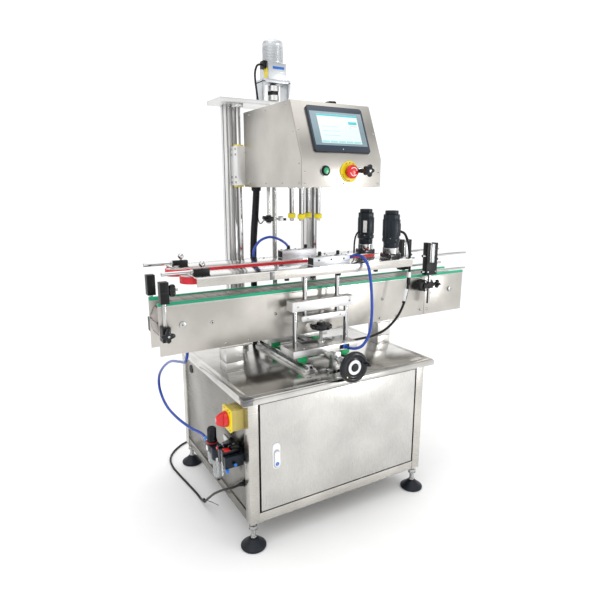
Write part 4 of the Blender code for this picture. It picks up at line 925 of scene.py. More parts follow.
def sprocket_wheels():
    ends = ((PATH_Y - PLATE_OUT - 0.006, PATH_Y + PLATE_OUT + 0.006),
        (PATH_Y - PLATE_OUT - 0.006, PATH_Y + PLATE_OUT + 0.03))
    for name, body, x, along in zip(("idler_sprocket", "drive_sprocket"), ("idler_shaft", "drive_shaft"),
            SPROCKET_X, ends):
        at = (x, SPROCKET_Z)
        parts = [(BLACK, prism("Y", lobed(at, 0.0602, 12, 0.0055, 96), *span(PATH_Y, 0.0085))),
            (BLACK, turned("Y", at, [(0.022, PATH_Y - 0.016), (0.024, PATH_Y - 0.015),
            (0.024, PATH_Y + 0.015), (0.022, PATH_Y + 0.016)], 32)), (STEEL, rod("Y", at, 0.01, along, 28)),
            (RECESS_SHADE, rod("Y", at, 0.0022, (along[0] - 0.0002, along[0] + 0.001), 12))]
        # Painted shade: six dark discs for the sprocket's lightening holes.
        for hole in range(6):
            angle = 2.0 * math.pi * (hole + 0.5) / 6.0
            spot = round_from((x, SPROCKET_Z), 0.04, angle)
            parts.append((RECESS_SHADE, rod("Y", spot, 0.007, span(PATH_Y, 0.0087), 20)))
        piece(name + "_wheel", body, parts, [name], 0.0005)


def rails():
    for name, body, half in (("guide_rail_front", "rail_front", same),
            ("guide_rail_rear", "rail_rear", mirrored)):
        y = PATH_Y - PLATE_OUT - 0.0205
        parts = [(PAINTED_REFLECTION_CHROME, rod("Z", (0.511, y), 0.006, (0.655, 0.8), 28)),
            (BLACK, block((0.4845, 0.5375), span(y, 0.0118), (0.7685, 0.814))),
            (BLACK, block((0.4845, 0.5), span(y, 0.0118), (0.814, 0.8915))),
            (BLACK, block((0.525, 0.5375), span(y, 0.0112), (0.814, 0.89))),
            (STEEL, block((0.499, 0.512), span(y, 0.008), (0.813, 0.883))),
            (CAST, block((0.511, 0.526), span(y, 0.01), (0.813, 0.886))),
            (PAINTED_REFLECTION_CHROME, rod("X", (y, 0.781), 0.005, (0.47, 0.7), 24)),
            (PAINTED_REFLECTION_CHROME, rod("X", (y, 0.842), 0.005, (0.47, 0.7), 24)),
            (PAINTED_REFLECTION_CHROME, rod("X", (y, 0.812), 0.0042, (0.537, 0.566), 20)),
            (BLACK, star_knob("X", (y, 0.827), 0.0095, 4, 0.003, 0.538, 0.547))]
        for x in (0.4925, 0.5295):
            for look, shape in screw_head("Y", (x, 0.78), y - 0.0118, y - 0.0145, 0.0034, PAINTED_REFLECTION_CHROME):
                parts.append((look, shape))
        piece(name + "_parts", body, halves(parts, half), [name], 0.0006)


def side_knobs():
    front = PATH_Y - PLATE_OUT - 0.032 - GAP
    at = (-0.521, 0.678)
    piece("left_star_knob", "left_knob",
        [(GLOSS, star_knob("Y", at, 0.0212, 4, 0.009, front - 0.0055, front - 0.02)),
        (GLOSS, turned("Y", at, [(0.0088, front), (0.0078, front - 0.004), (0.01, front - 0.0075)], 28)),
        (STEEL, rod("Y", at, 0.0034, (front - 0.0205, front - 0.0195), 16))], ["left_clamp_knob"], 0.0003)
    side = 0.532 + GAP
    at = (PATH_Y - PLATE_OUT - 0.0195, 0.727)
    piece("right_star_knob", "right_knob",
        [(GLOSS, star_knob("X", at, 0.0172, 4, 0.007, side + 0.015, side + 0.03)),
        (BLACK, turned("X", at, [(0.007, side), (0.0064, side + 0.005), (0.0068, side + 0.0165)], 24)),
        (PAINTED_REFLECTION_CHROME, rod("X", at, 0.003, (side + 0.0295, side + 0.0304), 16))], ["right_clamp_knob"], 0.0003)
    y = -0.14
    piece("left_cross_knob", "root",
        [(GLOSS, star_knob("X", (y, 0.808), 0.02, 3, 0.008, -0.5075, -0.488)),
        (BLACK, rod("X", (y, 0.808), 0.0085, (-0.509, -0.506), 24)),
        (STEEL, rod("X", (y, 0.808), 0.0038, (-0.487, -0.48), 20))], (), 0.0003)


conveyor()
chain()
sprocket_wheels()
rails()
side_knobs()


# Bottle clamps

def cross_slide():
    ends = (-0.243, 2.0 * PATH_Y + 0.243)
    parts = []
    for x in (STAND_X - 0.085, STAND_X + 0.085):
        parts += [(MILLED, block(span(x, 0.027), ends, (TABLE_Z[1] + GAP, 0.515))),
            (MILLED, block(span(x, 0.02), ends, (0.515, 0.524)))]
        section = [(-0.01, 0.5235), (0.01, 0.5235), (0.01, 0.5265), (0.007, 0.5285), (0.007, 0.5305),
            (0.01, 0.5325), (0.0085, 0.535), (-0.0085, 0.535), (-0.01, 0.5325), (-0.007, 0.5305),
            (-0.007, 0.5285), (-0.01, 0.5265)]
        parts.append((PAINTED_REFLECTION_CHROME, prism("Y", [(x + u, v) for u, v in section], *ends)))
        for step in range(7):
            y = ends[0] + 0.012 + (ends[1] - ends[0] - 0.024) * step / 6.0
            parts.append((RECESS_SHADE, rod("Z", (x, y), 0.003, (0.5345, 0.5352), 16)))
            parts += screw_head("Z", (x - 0.0235, y), 0.515, 0.5175, 0.0026)
    parts.append((MILLED, block(span(STAND_X, 0.08), (ends[1] - 0.015, ends[1] - 0.001), (0.51, 0.522))))
    piece("slide_rails", "root", parts, ["cross_rails"], 0.0005)
    wheel_y = -0.358
    at = (STAND_X, SCREW_Z)
    rim = [(0.014, wheel_y + 0.013), (0.026, wheel_y + 0.0115), (0.04, wheel_y + 0.0098),
        (0.047, wheel_y + 0.006), (0.05, wheel_y + 0.001), (0.05, wheel_y - 0.006), (0.048, wheel_y - 0.01),
        (0.043, wheel_y - 0.012), (0.037, wheel_y - 0.011), (0.034, wheel_y - 0.007), (0.03, wheel_y - 0.006),
        (0.026, wheel_y - 0.008)]
    thread = [(0.0072, -0.244)]
    for turn in range(84):
        y = -0.243 + turn * 0.004
        thread += [(0.008, y + 0.0004), (0.008, y + 0.0018), (0.007, y + 0.0024), (0.007, y + 0.0036)]
    parts = [(GLOSS, turned("Y", at, rim, 64)), (WHITE,
        ring("Y", at, 0.0135, 0.0235, (wheel_y - 0.0088, wheel_y - 0.006), 48)),
        (GLOSS, turned("Y", at, [(0.0135, wheel_y), (0.0135, wheel_y - 0.01), (0.011, wheel_y - 0.013)], 40)),
        (PAINTED_REFLECTION_CHROME, rod("Y", at, 0.008, (wheel_y, -0.243), 28)), (STEEL, turned("Y", at, thread, 24)),
        (MILLED, turned("Y", at, [(0.0128, -0.3), (0.0138, -0.299), (0.0138, -0.289), (0.0128, -0.288)], 32)),
        (RECESS_SHADE, rod("X", (-0.294, SCREW_Z), 0.0022, (STAND_X - 0.0141, STAND_X - 0.013), 12)),
        (BRASS, rod("Y", (STAND_X - 0.03, SCREW_Z - 0.026), 0.0024, (wheel_y - 0.0125, wheel_y - 0.01), 16)),
        (PAINTED_REFLECTION_CHROME, rod("Y", (STAND_X + 0.036, SCREW_Z + 0.01), 0.0036, (wheel_y - 0.016, wheel_y - 0.006), 20)),
        (GLOSS, turned("Y", (STAND_X + 0.036, SCREW_Z + 0.01),
        [(0.0042, wheel_y - 0.015), (0.0058, wheel_y - 0.02), (0.0062, wheel_y - 0.032),
        (0.005, wheel_y - 0.0385), (0.003, wheel_y - 0.0398)], 24))]
    piece("handwheel", "handwheel", parts, ["cross_screw"], 0.0004)


def carriages():
    for tag, half in (("front", same), ("rear", mirrored)):
        plate_y = span(CLAMP_Y + 0.01, 0.045)
        parts = [(ALU, block(span(STAND_X, 0.126), plate_y, CARRIAGE_Z)),
            (ALU, block(span(STAND_X, 0.016), span(CLAMP_Y + 0.01, 0.02), (0.5385, 0.555))),
            (ALU, block(span(STAND_X, 0.121), span(CLAMP_Y, 0.02), BAR_Z)),
            (STEEL, rod("Z", (STAND_X, CLAMP_Y), 0.0105, (BAR_Z[1], BAR_Z[1] + 0.002), 32))]
        for side in (-1, 1):
            rail_x = STAND_X + side * 0.085
            post = (STAND_X + side * 0.101, CLAMP_Y)
            parts.append((STEEL, block(span(rail_x, 0.017), span(CLAMP_Y + 0.01, 0.0285), (0.5354, 0.5546))))
            for edge in (-1, 1):
                green_y = CLAMP_Y + 0.01 + edge * 0.032
                parts.append((LIME, block(span(rail_x, 0.0168), span(green_y, 0.0032), (0.5356, 0.5546))))
            parts += [(PAINTED_REFLECTION_CHROME, rod("Z", post, SHAFT_R, (CARRIAGE_Z[1], BAR_Z[0]), 32)),
                (STEEL, rod("Z", post, 0.0092, (BAR_Z[1], BAR_Z[1] + 0.0006), 28))]
            for y in (-0.19, -0.13):
                parts += screw_head("Z", (STAND_X + side * 0.078, y), CARRIAGE_Z[1], CARRIAGE_Z[1] + 0.003,
                    0.0042)
                parts += screw_head("Z", (STAND_X + side * 0.112, y), CARRIAGE_Z[1], CARRIAGE_Z[1] + 0.002,
                    0.0034)
            parts += screw_head("Y", (STAND_X + side * 0.101, 0.721), CLAMP_Y - 0.02, CLAMP_Y - 0.0215, 0.003)
            parts.append((STEEL, ring("Z", (STAND_X + side * 0.0635, CLAMP_Y), 0.0084, 0.012,
                (BAR_Z[1], BAR_Z[1] + 0.0018), 32)))
        parts.append((DARK_MARK_AND_PAINTED_REFLECTION, block(span(STAND_X, 0.058), (-0.15, -0.118),
            (CARRIAGE_Z[1], CARRIAGE_Z[1] + 0.0016))))
        if tag == "front":
            parts += [(BLACK, block((0.05, 0.09), (-0.2055, -0.196), (0.559, 0.573))),
                (SKY, turned("Y", (0.07, 0.566), [(0.0078, -0.2052), (0.0078, -0.211), (0.007, -0.212)], 20)),
                (BLACK, rod("X", (-0.16, 0.566), 0.007, (0.122, 0.1285), 20))]
        piece("carriage_" + tag + "_stand", "carriage_" + tag, halves(parts, half),
            ["carriage_" + tag], 0.0008)


def clamps():
    x0, x1 = COVER_X
    y0, y1 = COVER_Y
    z0, z1 = COVER_Z
    for tag, half in (("front", same), ("rear", mirrored)):
        parts = [(POLISHED, block((x0, x1), (y0, y1), (z1 - 0.003, z1))),
            (SATIN, block((x0 + 0.0005, x1 - 0.0005), (y0 + 0.0002, y0 + 0.0025), (z0, z1 - 0.001))),
            (DARK_MARK_AND_PAINTED_REFLECTION, block((-0.218, -0.202), (y0 - 0.0001, y0 + 0.0004), (z0 + 0.001, z1 - 0.002))),
            (MILLED, block((PULLEY_X[0] + 0.05, PULLEY_X[1] - 0.05), (PULLEY_Y - 0.032, PULLEY_Y + 0.031),
            (z0 - 0.0025, z1 - 0.003))), (STEEL, rod("Z", (PULLEY_X[0], PULLEY_Y), 0.006,
            (z0 + 0.0015, z1 - 0.002), 24)), (STEEL, hexagon("Z", (PULLEY_X[0], PULLEY_Y), 0.014,
            (z1, z1 + 0.005))), (ALU, block(span(STAND_X, 0.085), span(CLAMP_Y, 0.02), NUT_PLATE_Z)),
            (STEEL, rod("Z", (STAND_X, CLAMP_Y), 0.0125, (NUT_PLATE_Z[0] - 0.001, NUT_PLATE_Z[0]), 32)),
            (CAST, block((-0.046, 0.096), span(CLAMP_Y, 0.0185), (z1, 0.8765))),
            (STEEL, block((-0.046, 0.096), (CLAMP_Y - 0.019, CLAMP_Y - 0.0184), (0.859, 0.861))),
            (BLACK, block((-0.0465, -0.042), span(CLAMP_Y, 0.017), (z1 + 0.002, 0.874))),
            (BLACK, rod("X", (CLAMP_Y, 0.866), 0.0072, (0.095, 0.101), 24)),
            (BLACK, block((-0.44, -0.392), span(CLAMP_Y + 0.005, 0.0088), (z1 - 0.0005, 0.8675))),
            (PAINTED_REFLECTION_CHROME, rod("X", (CLAMP_Y + 0.005, 0.86), 0.0055, (-0.532, -0.39), 24)),
            (STEEL, turned("X", (CLAMP_Y + 0.005, 0.86), [(0.0074, -0.448), (0.0074, -0.44)], 24)),
            (STEEL, rod("Z", (-0.412, CLAMP_Y + 0.005), 0.0035, (0.8665, 0.874), 20)),
            (PAINTED_REFLECTION_CHROME, ball((-0.412, CLAMP_Y + 0.005, 0.8808), 0.0094))]
        for x in (-0.012, 0.06):
            parts += [(PAINTED_REFLECTION_CHROME, turned("Z", (x, CLAMP_Y), [(0.012, 0.8765), (0.012, 0.8785), (0.0105, 0.8795)],
                32)), (DARK_MARK_AND_PAINTED_REFLECTION, turned("Z", (x, CLAMP_Y), [(0.0078, 0.8795), (0.0078, 0.8802)], 32)),
                (BLACK, turned("Z", (x, CLAMP_Y), [(0.006, 0.8765), (0.006, 0.889), (0.0045, 0.8925)], 24))]
        for x in (-0.034, 0.024, 0.084):
            for y in (CLAMP_Y - 0.013, CLAMP_Y + 0.013):
                parts += screw_head("Z", (x, y), 0.8765, 0.879, 0.0028)
        for x in (-0.026, 0.022, 0.072):
            parts.append((RECESS_SHADE, rod("Y", (x, 0.8665), 0.0034, (CLAMP_Y - 0.0188, CLAMP_Y - 0.018), 20)))
        for x in (-0.33, -0.1, 0.16, 0.27):
            parts += screw_head("Z", (x, CLAMP_Y - 0.024), z1, z1 + 0.0022, 0.0032)
        for x in (-0.15, -0.055, 0.045, 0.2):
            parts.append((BLACK, block(span(x, 0.006), span(y0 + 0.018, 0.005), (z0 - 0.01, z0 + 0.004))))
        for side in (-1, 1):
            shaft = (STAND_X + side * 0.0635, CLAMP_Y)
            parts += [(PAINTED_REFLECTION_CHROME, rod("Z", shaft, SHAFT_R, (NUT_PLATE_Z[0] + 0.002, z0 + 0.0005), 32)),
                (ALU, rod("Z", shaft, 0.0135, (z0 - 0.008, z0 - 0.002), 32))]
            parts += screw_head("Y", (shaft[0], 0.6775), CLAMP_Y - 0.02, CLAMP_Y - 0.0215, 0.003)
        piece("clamp_" + tag + "_unit", "clamp_" + tag, halves(parts, half), ["clamp_" + tag],
            0.0006)


def belts():
    for tag in ("front", "rear"):
        middle = PULLEY_Y if tag == "front" else 2.0 * PATH_Y - PULLEY_Y
        outer = stadium(*PULLEY_X, middle, PULLEY_R + 0.0033, 28)
        inner = stadium(*PULLEY_X, middle, PULLEY_R + 0.0008, 28)
        loops = []
        for outline, z in ((inner, BELT_Z[0]), (outer, BELT_Z[0] + 0.0008), (outer, BELT_Z[1] - 0.0008),
                (inner, BELT_Z[1])):
            loops.append([(u, v, z) for u, v in outline])
        piece("belt_" + tag + "_loop", "clamp_" + tag,
            [(RED_BELT, lofted(loops + [loops[0]], ends=False))], ["belt_" + tag], 0.0)
        rim = (BELT_Z[0] + 0.0005, BELT_Z[1] - 0.0005)
        for role, x in (("idler", PULLEY_X[0]), ("drive", PULLEY_X[1])):
            at = (x, middle)
            teeth = lobed(at, PULLEY_R + 0.0002, 40, 0.0016, 160)
            parts = [(MILLED, prism("Z", teeth, rim[0] + 0.0012, rim[1] - 0.0012)),
                (MILLED, turned("Z", at, [(0.033, rim[0]), (0.033, rim[0] + 0.0014)], 48)),
                (MILLED, turned("Z", at, [(0.033, rim[1] - 0.0014), (0.033, rim[1])], 48)),
                (STEEL, rod("Z", at, 0.011, (rim[0] - 0.0004, rim[1] + 0.0004), 32))]
            if role == "drive":
                parts.append((STEEL, rod("Z", at, 0.006, (rim[0], 0.88), 24)))
            piece(role + "_pulley_" + tag + "_wheel", role + "_pulley_" + tag, parts,
                [role + "_pulley_" + tag], 0.0004)
        at = (PULLEY_X[1], middle)
        base = COVER_Z[1] + GAP
        square = [(at[0] + u, at[1] + v) for u, v in ((-0.03, -0.022), (-0.022, -0.03), (0.022, -0.03),
            (0.03, -0.022), (0.03, 0.022), (0.022, 0.03), (-0.022, 0.03), (-0.03, 0.022))]
        parts = [(GLOSS, prism("Z", square, base, 0.8625)),
            (PAINTED_REFLECTION_CHROME, turned("Z", at, [(0.027, 0.8625), (0.0285, 0.864), (0.0285, 0.883), (0.027, 0.8845)],
            48)), (PAINT, turned("Z", at, [(0.027, 0.8845), (0.027, 0.902), (0.03, 0.906), (0.0318, 0.908),
            (0.0318, 0.917), (0.03, 0.919)], 48)), (PAINT,
            prism("Z", lobed(at, 0.031, 8, 0.0022, 96, math.pi / 8.0), 0.918, 0.986)),
            (PAINT, prism("Z", lobed(at, 0.03, 8, 0.0016, 96, math.pi / 8.0), 0.986, 1.003)),
            (PAINT, turned("Z", at, [(0.0235, 1.0025), (0.024, 1.004), (0.024, 1.015), (0.022, 1.0168)], 48)),
            (RECESS_SHADE, rod("Z", at, 0.015, (1.016, 1.0169), 32))]
        for u, v in ((-0.0235, -0.0235), (0.0235, -0.0235), (-0.0235, 0.0235), (0.0235, 0.0235)):
            parts += screw_head("Z", (at[0] + u, at[1] + v), 0.8625, 0.866, 0.003)
        for turn in range(4):
            angle = math.pi / 4.0 + turn * math.pi / 2.0
            spot = round_from(at, 0.029, angle)
            parts += screw_head("Z", spot, 0.917, 0.92, 0.0024, PAINTED_REFLECTION_CHROME)
        for fin in range(12):
            angle = 2.0 * math.pi * (fin + 0.5) / 12.0
            spot = round_from(at, 0.0298, angle)
            parts.append((PAINT, rod("Z", spot, 0.0016, (0.925, 0.984), 8)))
        if tag == "front":
            parts += [(PAINT, block((0.34, 0.3452), span(PULLEY_Y, 0.013), (0.926, 0.97))),
                (STEEL, block((0.344, 0.3456), span(PULLEY_Y, 0.006), (0.962, 0.966)))]
        else:
            parts.append((LABEL, moved(block((-0.007, 0.007), (-0.032, -0.031), (0.93, 0.974)),
                Matrix.Translation((at[0], at[1], 0.0)) @ Matrix.Rotation(-0.75, 4, "Z"))))
        piece("belt_motor_" + tag + "_case", "clamp_" + tag, parts, ["belt_motor_" + tag],
            0.0006)
        centre = (STAND_X, CLAMP_Y if tag == "front" else 2.0 * PATH_Y - CLAMP_Y)
        thread = [(0.0052, CARRIAGE_Z[1] + 0.0003)]
        for turn in range(41):
            z = CARRIAGE_Z[1] + 0.001 + turn * 0.003
            thread += [(0.006, z + 0.0003), (0.006, z + 0.0012), (0.0051, z + 0.0017), (0.0051, z + 0.0027)]
        grip = [lobed(centre, 0.0375 * s, 10, 0.0042 * s, 120) for s in (0.9, 1.0, 1.0, 0.9)]
        wheel = lofted([[(u, v, z) for u, v in outline] for outline,
            z in zip(grip, (0.632, 0.635, 0.645, 0.6485))])
        piece("height_wheel_" + tag + "_grip", "height_wheel_" + tag,
            [(STEEL, turned("Z", centre, thread, 20)), (GLOSS, wheel),
            (GLOSS, turned("Z", centre, [(0.014, 0.626), (0.015, 0.628), (0.015, 0.652), (0.013, 0.654)],
            32)), (STEEL, turned("Z", centre, [(0.011, CARRIAGE_Z[1] + GAP), (0.011, CARRIAGE_Z[1] + 0.012)],
            28))], ["height_screw_" + tag], 0.0004)


cross_slide()
carriages()
clamps()
belts()


# Lifting column

def column_outline(x, y):
    half = COLUMN_SIDE / 2.0
    side = [(half, -half + 0.0015), (half, -0.0145), (half - 0.001, -0.014), (half - 0.001, -0.012),
        (half, -0.0115), (half, -0.0045), (half - 0.0045, -0.0045), (half - 0.0045, -0.0095),
        (half - 0.012, -0.004), (half - 0.012, 0.004), (half - 0.0045, 0.0095), (half - 0.0045, 0.0045),
        (half, 0.0045), (half, 0.0115), (half - 0.001, 0.012), (half - 0.001, 0.014), (half, 0.0145),
        (half, half - 0.0015), (half - 0.0015, half)]
    points = []
    for quarter in range(4):
        cos, sin = (1, 0, -1, 0)[quarter], (0, 1, 0, -1)[quarter]
        points.extend((x + u * cos - v * sin, y + u * sin + v * cos) for u, v in side)
    return points


def lift():
    for name, side in (("column_left", -1), ("column_right", 1)):
        x = LIFT_X + side * COLUMN_OFF
        parts = [(ALU, prism("Z", column_outline(x, COLUMN_Y), TABLE_Z[1] + GAP, TOP_Z[0] - GAP))]
        parts += [(CAST, block(span(x, 0.021), (COLUMN_Y - 0.038, COLUMN_Y - 0.0228),
            (TABLE_Z[1] + GAP, 0.518))), (CAST, block(span(x, 0.021), (COLUMN_Y - 0.03, COLUMN_Y - 0.0228),
            (0.51, 0.55)))]
        parts += screw_head("Y", (x, 0.53), COLUMN_Y - 0.03, COLUMN_Y - 0.0335, 0.0045)
        piece(name + "_profile", "root", parts, [name], 0.0003, 1)
    parts = [(ALU, block(span(LIFT_X, 0.23), (0.102, 0.225), TOP_Z))]
    for side in (-1, 1):
        at = (LIFT_X + side * GUIDE_OFF, GUIDE_Y)
        parts += [(PAINTED_REFLECTION_CHROME, rod("Z", at, GUIDE_R, (TABLE_Z[1] + 0.0005, TOP_Z[0]), 40)),
            (MILLED, turned("Z", at, [(0.02, TABLE_Z[1] + GAP), (0.02, 0.52), (0.0185, 0.522)], 40)),
            (MILLED, turned("Z", at, [(0.0185, 1.364), (0.02, 1.366), (0.02, TOP_Z[0])], 40)),
            (STEEL, rod("Z", at, 0.0088, (TOP_Z[1], TOP_Z[1] + 0.0008), 32))]
        for dx, dy in ((-0.012, -0.006), (0.012, -0.006), (-0.012, 0.012), (0.012, 0.012)):
            parts += screw_head("Z", (LIFT_X + side * COLUMN_OFF + dx, COLUMN_Y + dy), TOP_Z[1],
                TOP_Z[1] + 0.004, 0.0044)
    parts.append((STEEL, ring("Z", (LIFT_X, LIFT_Y), 0.01, 0.018, (TOP_Z[1], TOP_Z[1] + 0.004), 32)))
    piece("lift_frame", "root", parts, ["lift_guides"], 0.0008)
    at = (LIFT_X, LIFT_Y)
    y = span(LIFT_Y, 0.032)
    parts = [(CAST, block(span(LIFT_X, 0.054), y, (1.458, 1.468))),
        (CAST, block(span(LIFT_X - 0.05, 0.004), y, (TOP_Z[1] + GAP, 1.462))),
        (CAST, block(span(LIFT_X + 0.05, 0.004), y, (TOP_Z[1] + GAP, 1.462))),
        (CAST, block(span(LIFT_X, 0.0345), span(LIFT_Y, 0.0345), (1.468, 1.5225))),
        (MILLED, block(span(LIFT_X, 0.035), span(LIFT_Y, 0.035), (1.493, 1.4945))),
        (YELLOW, block((LIFT_X - 0.0352, LIFT_X - 0.034), (LIFT_Y - 0.026, LIFT_Y + 0.002), (1.474, 1.506))),
        (SKY, block((LIFT_X - 0.018, LIFT_X + 0.027), (LIFT_Y - 0.0352, LIFT_Y - 0.034), (1.502, 1.511))),
        (BLACK, block((LIFT_X - 0.046, LIFT_X - 0.033), span(LIFT_Y - 0.004, 0.014), (1.505, 1.53)))]
    case = [(0.033, 1.5225), (0.0345, 1.524)]
    for fin in range(11):
        z = 1.529 + fin * 0.0048
        case += [(0.035, z), (0.037, z + 0.0004), (0.037, z + 0.0026), (0.035, z + 0.003)]
    case += [(0.036, 1.583), (0.0365, 1.584), (0.0365, 1.5915), (0.033, 1.5975), (0.024, 1.6015),
        (0.01, 1.6038)]
    parts.append((CAST, turned("Z", at, case, 56)))
    for fin in range(8):
        angle = 2.0 * math.pi * fin / 8.0
        spot = round_from(at, 0.03, angle)
        parts.append((RECESS_SHADE, rod("Z", spot, 0.0026, (1.595, 1.5978), 12)))
    for sx in (-1, 1):
        for sy in (-1, 1):
            parts += screw_head("Z", (LIFT_X + sx * 0.048, LIFT_Y + sy * 0.026), 1.468, 1.4715, 0.0036)
    piece("lift_motor", "root", parts, ["lift_gearmotor"], 0.0008)
    thread = [(0.008, 0.509)]
    for turn in range(215):
        z = 0.51 + turn * 0.004
        thread += [(0.009, z + 0.0004), (0.009, z + 0.0018), (0.0079, z + 0.0024), (0.0079, z + 0.0036)]
    thread.append((0.009, 1.373))
    star = [lobed(at, r, 6, 0.004, 96) for r in (0.02, 0.021, 0.021, 0.0195)]
    jaw = lofted([[(u, v, z) for u, v in outline] for outline, z in zip(star, (1.418, 1.421, 1.431, 1.434))])
    parts = [(STEEL, turned("Z", at, thread, 20)), (STEEL, rod("Z", at, 0.009, (1.37, 1.405), 24)),
        (MILLED, turned("Z", at, [(0.019, 1.4), (0.0205, 1.401), (0.0205, 1.419), (0.0195, 1.42)], 40)),
        (GLOSS, jaw), (MILLED, turned("Z", at, [(0.0195, 1.432), (0.0205, 1.433), (0.0205, 1.451),
        (0.01, 1.457)], 40))]
    piece("lift_spindle", "lift_screw", parts, ["lift_screw"], 0.0)
    cable = smooth_route([(-0.048, 0.161, 1.518), (-0.056, 0.161, 1.518), (-0.068, 0.16, 1.512),
        (-0.0765, 0.158, 1.49), (-0.077, 0.156, 1.46), (-0.073, 0.154, 1.425), (-0.07, 0.152, 1.392)], 0.003)
    thing = piece("lift_motor_lead", "root", [(CABLE, tube(cable, 0.0036, 12))], (), 0.0)


# Capping head

def slope_frame():
    """Matrix from flat panel places (along X, up the slope, out of it) to the head's sloping face."""
    run, rise = SLOPE_TOP_Y - HEAD_Y[0], HEAD_Z[1] - CREASE_Z
    length = math.hypot(run, rise)
    up = Vector((0.0, run / length, rise / length))
    out = Vector((0.0, -up.z, up.y))
    turn = Matrix((Vector((1.0, 0.0, 0.0)), up, out)).transposed().to_4x4()
    return Matrix.Translation((0.0, HEAD_Y[0], CREASE_Z)) @ turn


def head_outline():
    return [(HEAD_Y[0], HEAD_Z[0]), (HEAD_Y[0], CREASE_Z), (SLOPE_TOP_Y, HEAD_Z[1]), (HEAD_Y[1], HEAD_Z[1]),
        (HEAD_Y[1], HEAD_Z[0])]


def side_panel_outline():
    """The head's side view, drawn in a little all round for its screwed side panels."""
    return [(y + (0.004 if y < -0.2 else -0.004), z + (
        0.0035 if z < 1.15 else -0.0035 if z > 1.3 else 0.0)) for y, z in head_outline()]


